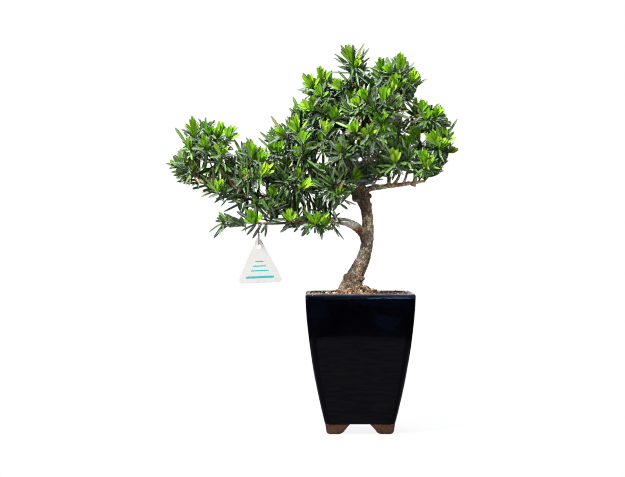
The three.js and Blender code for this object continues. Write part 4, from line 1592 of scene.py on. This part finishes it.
# Single leaves that shape the outline: foot across and up, tip across and up, width, colour.
outlineLeaves = [
    (-186, 316, -200, 329, 4.6, "mid"), (-165, 326, -166, 340, 2.4, "mid"),
    (-150, 318, -145, 330, 3, "dark"), (-136, 314, -132, 330, 2.2, "blue"),
    (-126, 303, -136, 317, 3.2, "mid"), (-123, 303, -128, 315, 3, "blue"),
    (-112, 299, -107, 310, 2.6, "dark"), (-90, 307, -107, 324, 3.4, "dark"),
    (-94, 309, -109, 317, 2.8, "dark"), (-87, 314, -96, 331, 3.6, "dark"),
    (-85, 324, -95, 341, 3.6, "olive"), (-64, 345, -72, 363, 3.8, "mid"), (-63, 340, -76, 351, 3.2, "dark"),
    (-48, 365, -67, 371, 2.4, "blue"), (-49, 363, -63, 368, 2.2, "dark"), (-56, 368, -62, 377, 3, "mid"),
    (-55, 373, -61, 388, 3, "dark"), (0, 386, 8, 402, 3.4, "dark"), (-34, 376, -30, 392, 3.6, "dark"),
    (-38, 378, -36, 392, 3, "mid"), (-28, 358, -44, 363, 2.4, "blue"), (-24, 364, -43, 362, 2.2, "blue"),
    (-10, 396, -27, 410, 2.4, "dark"), (-12, 393, -28, 405, 2.4, "blue"), (-10, 390, -24, 397, 2.6, "dark"),
    (-12, 403, -21, 418, 2.6, "dark"), (-3, 402, 5, 421, 2.4, "olive"), (1, 395, 10, 414, 2.6, "dark"),
    (2, 392, 11, 405, 2.4, "blue"), (-9, 388, -32, 389, 2.4, "blue"), (-15, 383, -23, 391, 2.8, "dark"),
    (32, 383, 29, 405, 4, "blue"), (41, 388, 34, 404, 3, "mid"), (48, 385, 60, 402, 2.8, "blue"),
    (50, 370, 66, 383, 2.6, "blue"), (52, 366, 73, 383, 3.4, "dark"), (64, 340, 76, 355, 3, "dark"),
    (56, 342, 48, 353, 3.2, "dark"), (71, 333, 89, 340, 2.4, "dark"), (70, 332, 80, 322, 3, "dark"),
    (88, 326, 96, 346, 3.4, "mid"), (92, 324, 105, 339, 3, "dark"), (92, 310, 101, 319, 2.8, "dark"),
    (93, 305, 102, 313, 2.4, "blue"), (83, 286, 96, 294, 2.8, "dark"), (80, 281, 90, 283, 2.4, "dark"),
    (-193, 285, -210, 291, 2.6, "dark"), (-187, 276, -199, 275, 2.4, "dark"),
    (-184, 273, -198, 270, 2.2, "dark"), (-175, 266, -188, 268, 2.8, "dark"),
    (-168, 262, -180, 263, 3, "dark"), (-190, 288, -202, 299, 2.6, "dark"),
    (-186, 290, -196, 304, 4, "mid"), (-191, 284, -205, 294, 3.4, "mid"),
    (-159, 257, -171, 255, 2.8, "olive"), (-147, 255, -157, 248, 2.6, "slate"),
    (-142, 253, -150, 244, 1.6, "slate"), (-123, 250, -142, 248, 2.4, "slate"),
    (-122, 245, -147, 238, 2.6, "slate"), (-123, 245, -132, 247, 2.2, "slate"),
    (-146, 227, -162, 216, 3, "slateLight"), (-144, 226, -157, 210, 3.4, "slate"),
    (-139, 227, -149, 219, 3.2, "slate"), (-145, 228, -155, 228, 3, "slate"),
    (-142, 228, -152, 238, 3.4, "mid"), (-140, 231, -147, 237, 3, "slateLight"),
    (-125, 228, -140, 233, 3.2, "slate"), (-110, 227, -126, 228, 4.2, "fresh"),
    (-112, 228, -124, 242, 3.8, "fresh"), (-114, 231, -132, 238, 4.2, "slate"),
    (-111, 231, -112, 244, 3.6, "slateLight"), (-110, 225, -122, 213, 3, "slate"),
    (-108, 225, -116, 209, 3.2, "slate"), (-112, 225, -128, 218, 2.4, "slate"),
    (-101, 225, -107, 215, 2.8, "slate"), (-101, 224, -102, 211, 2.6, "slate"),
    (-98, 227, -79, 230.5, 4.4, "blue"), (-84, 226, -66, 224, 3.4, "slate"),
    (-66, 226, -48, 223, 3.4, "slateLight"), (-98, 232, -98, 238, 2, "slate"),
    (-93, 232, -93, 242, 3.2, "slate"), (-70, 226, -85, 216, 3.8, "slateLight"),
    (-64, 226, -71, 216, 2.8, "slate"), (-51, 225, -62, 212, 5, "slateLight"),
    (-42, 223, -41, 208, 3, "slate"), (-50, 227, -62, 240, 4, "fresh"), (-31, 227, -17, 208, 1.8, "slate"),
    (-32, 226, -35, 219, 2.2, "slate"), (-31, 232, -21, 237, 2.4, "slate"),
    (-32, 229, -10, 228, 2.6, "slate"), (-31, 224, -21, 221, 3, "slateLight"),
    (-26, 286, -28, 301, 4.2, "rust"), (-31, 262, -23, 273, 3.6, "rust"), (-25, 260, -18, 271, 3.4, "rust"),
    (-19, 262, -21, 274, 3.2, "rust"), (-51, 276, -45, 290, 3.4, "rust"), (-46, 274, -53, 286, 3.2, "rust"),
    (-4, 338, 5, 347, 3.2, "rust"), (-129, 266, -121, 275, 3.2, "rust"),
    (-150, 276, -156, 290, 3.2, "rust"), (-146, 270, -150, 284, 3.0, "rust"),
    (-138, 258, -129, 268, 3.2, "rust"), (-132, 255, -142, 261, 3.0, "rust"),
    (-126, 256, -120, 268, 3.0, "rust"), (-135, 264, -140, 276, 3.0, "rust"),
    (-17, 249, -4, 245, 2.2, "dark"), (-19, 250, -10, 245, 2, "blue"), (14, 266, -8, 260, 2.2, "dark"),
    (25, 270, 6, 270, 2.2, "blue"), (-33, 228, -22, 211, 1.8, "slate"), (-22, 250, -13, 241, 3, "dark"),
    (-1, 268, 14, 270, 3, "blue"), (-6, 270, 8, 274, 3, "blue"), (2, 272, 26, 274, 2.4, "blue"),
]
# How a single leaf finds its foot on the wood, and how far its tip stands forward of it.
outlineRules = {
    "ahead": -14,
    "rustAhead": -45,
    "aheadWeight": 0.12,
    "forward": 4,
    "rustForward": 12,
    "levelForward": 9,  # a level leaf lies in front of its limb
    "levelRise": 4,
    "behindLabel": -3,
    "stray": 2,
    "faceStray": 0.15,
    "face": np.array([0.0, -0.9, 0.5]),
    "slateFace": np.array([0.2, -0.95, -0.1]),
    "bend": (-0.10, 0.04),
}


def addOutlineLeaves(heap):
    r = outlineRules
    for baseX, baseZ, tipX, tipZ, width, color in outlineLeaves:
        rust = color == "rust"
        depthGap = np.abs(woodPlaces[:, 1] - (r["rustAhead"] if rust else r["ahead"]))
        gap = np.hypot(woodPlaces[:, 0] - baseX, woodPlaces[:, 2] - baseZ) + r["aheadWeight"] * depthGap
        base = woodPlaces[np.argmin(gap)]
        forward = r["rustForward"] if rust else r["forward"]
        if abs(tipZ - baseZ) < r["levelRise"]:
            forward = r["levelForward"]
        if abs(tipX - labelReach["x"]) < labelReach["side"] and tipZ < labelReach["singleTop"]:
            forward = r["behindLabel"]
        tip = np.array([tipX, base[1] - forward + draw.normal() * r["stray"], tipZ])
        way = unit(tip - base)
        face = r["slateFace"] if color.startswith("slate") else r["face"]
        face = unit(face + draw.normal(size=3) * r["faceStray"])
        face = unit(face - way * np.dot(face, way))
        leaf = {"base": base, "way": way, "face": face, "length": np.linalg.norm(tip - base), "width": width,
                "bend": draw.uniform(*r["bend"]), "outline": oldLeaves["outline"], "blade": leafSlots[color],
                "rib": leafSlots["oldRib"], "foot": leafSlots[color]}
        heap.add({key: np.array([value]) for key, value in leaf.items()})


def addLimbSprays(heap, names):
    r = limbSprayRules
    for limb, spray in limbSprays.items():
        if spray["mass"] not in names:
            continue
        path = smoothPath(limbs[limb]["path"], r["steps"])
        for half in (0, 1):  # two runs of leaves, so that the outer end is as full as the rest
            kind = {**oldLeaves, "stretch": spray["stretch"] / spray["scale"] * (1 - r["outerPart"] * half)}
            mix = wornMixes[0] if half else oldMixes[3]
            setSpray(heap, path, kind, spray["count"] // (1 + half), spray["scale"], mix, r["toward"],
                     r["lift"], r["shorten"])


def addShootLeaves(heap, newHeap, shoot, low):
    s = shootLeaves
    path, toward, main, new = (shoot[key] for key in ("path", "toward", "main", "new"))
    if draw.random() < foliage[shoot["mass"]]["worn"] * (s["wornUnderTuft"] if main else s["worn"]):
        mix = wornMixes[draw.integers(2)]
    else:
        mix = oldMixes[draw.choice(len(oldMixes), p=oldMixShares)]
    scale = draw.uniform(*s["scale"])
    count = int(oldLeaves["count"] * draw.uniform(*s["count"]) * (s["lowCount"] if low else 1.0))
    setSpray(heap, path, tuftLeaves if main else oldLeaves, count, scale, oldMixes[0] if low else mix,
             toward, s["lowLift"] if low else s["lift"], s["shortenUnderTuft"] if main else s["shorten"])
    if new:
        count = draw.integers(*newLeaves["count"]) + s["moreInTuft"] * main
        setSpray(newHeap, path, newLeaves, count, shoot["size"], newMixes[new], toward, s["tuftLift"],
                 spread=shoot["spread"] if main else 0.0,
                 rib="lime" if new in ("green", "olive") else "limeRib", foot="limeDeep")
    else:  # a few soft green leaves close the tip
        setSpray(heap, path, newLeaves, s["softCount"], s["softSize"], softTip, toward, s["softLift"])


def makeLeaves():
    newHeap = LeafHeap()
    for region, names in regions.items():
        heap = LeafHeap()
        for shoot in shoots:
            if shoot["mass"] in names:
                addShootLeaves(heap, newHeap, shoot, region == "Low")
        addLimbSprays(heap, names)
        if region == "Left":
            addOutlineLeaves(heap)
        piece = heap.make("oldLeaves" + region)
        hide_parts(*names)
    newHeap.make("newLeaves")


makeLeaves()


labelShape = {
    "hole": (-109, -12, 200.6),
    "holeRadius": 2.6,
    "width": 50.5,
    "height": 52,
    "thickness": 0.9,
    "bevel": 0.12,
    "cornerRadius": 7.0,
    "cornerSteps": 8,
    "sideSteps": 10,
    "holeBelowApex": 12.9,
    "lean": -2.5,
    "roughness": 0.32,
    "specular": 0.5,
    "cloud": (60.0, 2.0),
    "body": ((0.3, (0.505, 0.50, 0.495)), (0.7, (0.545, 0.54, 0.535))),
    "dents": (300.0, 2.0),
    "bump": (0.03, 0.2),
}
labelRules = {
    "heights": (-16, -21, -26, -33),
    "lengths": (9, 14, 19, 30),
    "thick": (1.25, 1.25, 1.25, 2.3),
    "proud": 0.03,
    "sunk": 0.1,
    "ink": (0.01, 0.36, 0.34),
    "roughness": 0.5,
}


def labelPlace(points):
    # from the label's own plane, round its hole, to where it hangs
    lean = math.radians(labelShape["lean"])
    x, z, y = np.asarray(points, float).T
    turned = [x * math.cos(lean) + z * math.sin(lean), y, -x * math.sin(lean) + z * math.cos(lean)]
    return np.column_stack(turned) + np.array(labelShape["hole"])


def labelOutline():
    # a triangle with rounded corners, round the hole
    s = labelShape
    half = s["width"] / 2
    top = s["holeBelowApex"]
    corners = np.array([(-half, top - s["height"]), (half, top - s["height"]), (0, top)])
    outline = []
    for k, corner in enumerate(corners):
        following = corners[(k + 1) % 3]
        before = corner + unit(corners[k - 1] - corner) * s["cornerRadius"]
        after = corner + unit(following - corner) * s["cornerRadius"]
        nextStart = following + unit(corner - following) * s["cornerRadius"]
        outline += [(1 - t)**2 * before + 2 * t * (1 - t) * corner + t * t * after
                    for t in np.linspace(0, 1, s["cornerSteps"])]
        outline += [after * (1 - t) + nextStart * t for t in np.linspace(0, 1, s["sideSteps"])[1:-1]]
    return np.array(outline)


def makeLabelPlate():
    s = labelShape
    outline = labelOutline()
    hole = unit(outline) * s["holeRadius"]
    thick = s["thickness"] / 2
    bevel = s["bevel"]
    rows = []
    for ring, inset, y in ((hole, 0, -thick), (outline, bevel, -thick), (outline, 0, -thick + bevel),
                           (outline, 0, thick - bevel), (outline, bevel, thick), (hole, 0, thick)):
        flat = ring - unit(ring - outline.mean(0)) * inset
        rows.append(np.column_stack([flat, np.full(len(ring), y)]))
    plastic = Finish("labelPlastic", Roughness=s["roughness"], Specular_IOR_Level=s["specular"])
    plastic.color(plastic.ramp(plastic.noise(*s["cloud"]), *s["body"]))
    plastic.bump(plastic.noise(*s["dents"]), *s["bump"])
    piece = meshFromLists("label_plate", labelPlace(np.vstack(rows)),
                          ringFaces(len(rows), len(outline), closed=True), [plastic.material], smooth=False)
    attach(piece, "root")
    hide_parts("label")


def makeLabelRules():
    # four plain raised lines on both sides of the label
    r = labelRules
    thick = labelShape["thickness"] / 2
    points = []
    faces = []
    for height, length, wide in zip(r["heights"], r["lengths"], r["thick"]):
        for side in (-1, 1):
            a = len(points)
            for x, z in ((-1, -1), (1, -1), (1, 1), (-1, 1)):
                for y in (thick + r["proud"], thick - r["sunk"]):
                    points.append((x * length / 2, height + z * wide / 2, side * y))
            rule = [[a, a + 2, a + 4, a + 6]]
            for k in range(4):
                following = (k + 1) % 4
                rule.append([a + 2 * k, a + 2 * k + 1, a + 2 * following + 1, a + 2 * following])
            faces += rule if side < 0 else [face[::-1] for face in rule]
    ink = plainMaterial("labelInk", Base_Color=(*r["ink"], 1), Roughness=r["roughness"])
    rules = meshFromLists("label_rules", labelPlace(points), faces, [ink], smooth=False)
    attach(rules, "root")


tieShape = {
    "radius": 0.42,
    "around": 8,
    "steps": 60,
    "reach": 2.8,  # half width of the loop round the bough
    "top": 228.7,
    "twistTop": 217,
    "twistLow": 207,
    "twists": 4,
    "closing": (3, 0.4),  # the loop closes over this height, to this half width
    "eye": (0.9, 0.4),  # how far it opens to pass through the label, and narrows towards it
    "intoHole": 1.0,
    "roughness": 0.55,
    "cloud": (400.0, 2.0),
    "body": ((0.35, (0.070, 0.044, 0.050)), (0.7, (0.150, 0.100, 0.110))),
}


def strandAt(z, sign, low):
    # where one of the two strands is at a height
    s = tieShape
    if z > s["twistTop"]:
        height, closed = s["closing"]
        share = min(1, (s["top"] - z) / s["reach"])
        opened = s["reach"] * math.sqrt(max(1 - (1 - share)**2, 0))
        fade = min(1, (z - s["twistTop"]) / height)
        return (0, sign * (opened * fade + closed * (1 - fade)), z)
    if z > s["twistLow"]:
        turn = math.pi * s["twists"] * (s["twistTop"] - z) / (s["twistTop"] - s["twistLow"])
        return (sign * s["radius"] * math.sin(turn), sign * s["radius"] * math.cos(turn), z)
    opening, narrowing = s["eye"]
    share = (s["twistLow"] - z) / (s["twistLow"] - low)
    return (0, sign * (s["radius"] + opening * math.sin(math.pi * share) * (1 - narrowing * share)), z)


def makeTie():
    # two strands: round the bough, twisted together below it, and through the label's hole
    s = tieShape
    holeX, holeY, holeZ = labelShape["hole"]
    low = holeZ + labelShape["holeRadius"] - s["intoHole"]
    heights = [s["top"] + (low - s["top"]) * t for t in np.linspace(0, 1, s["steps"])]
    left, right = ([strandAt(z, sign, low) for z in heights] for sign in (1, -1))
    path = np.array(left[::-1] + right[1:]) + np.array([holeX, holeY, 0])
    wire = Finish("tieWire", Roughness=s["roughness"])
    wire.color(wire.ramp(wire.noise(*s["cloud"]), *s["body"]))
    tubePoints, tubeFaces = tube(path, np.full(len(path), s["radius"]), s["around"])
    piece = meshFromLists("tie_strands", tubePoints, tubeFaces, [wire.material])
    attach(piece, "root")
    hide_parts("label_tie")


makeLabelPlate()
makeLabelRules()
makeTie()
print("label and tie made")
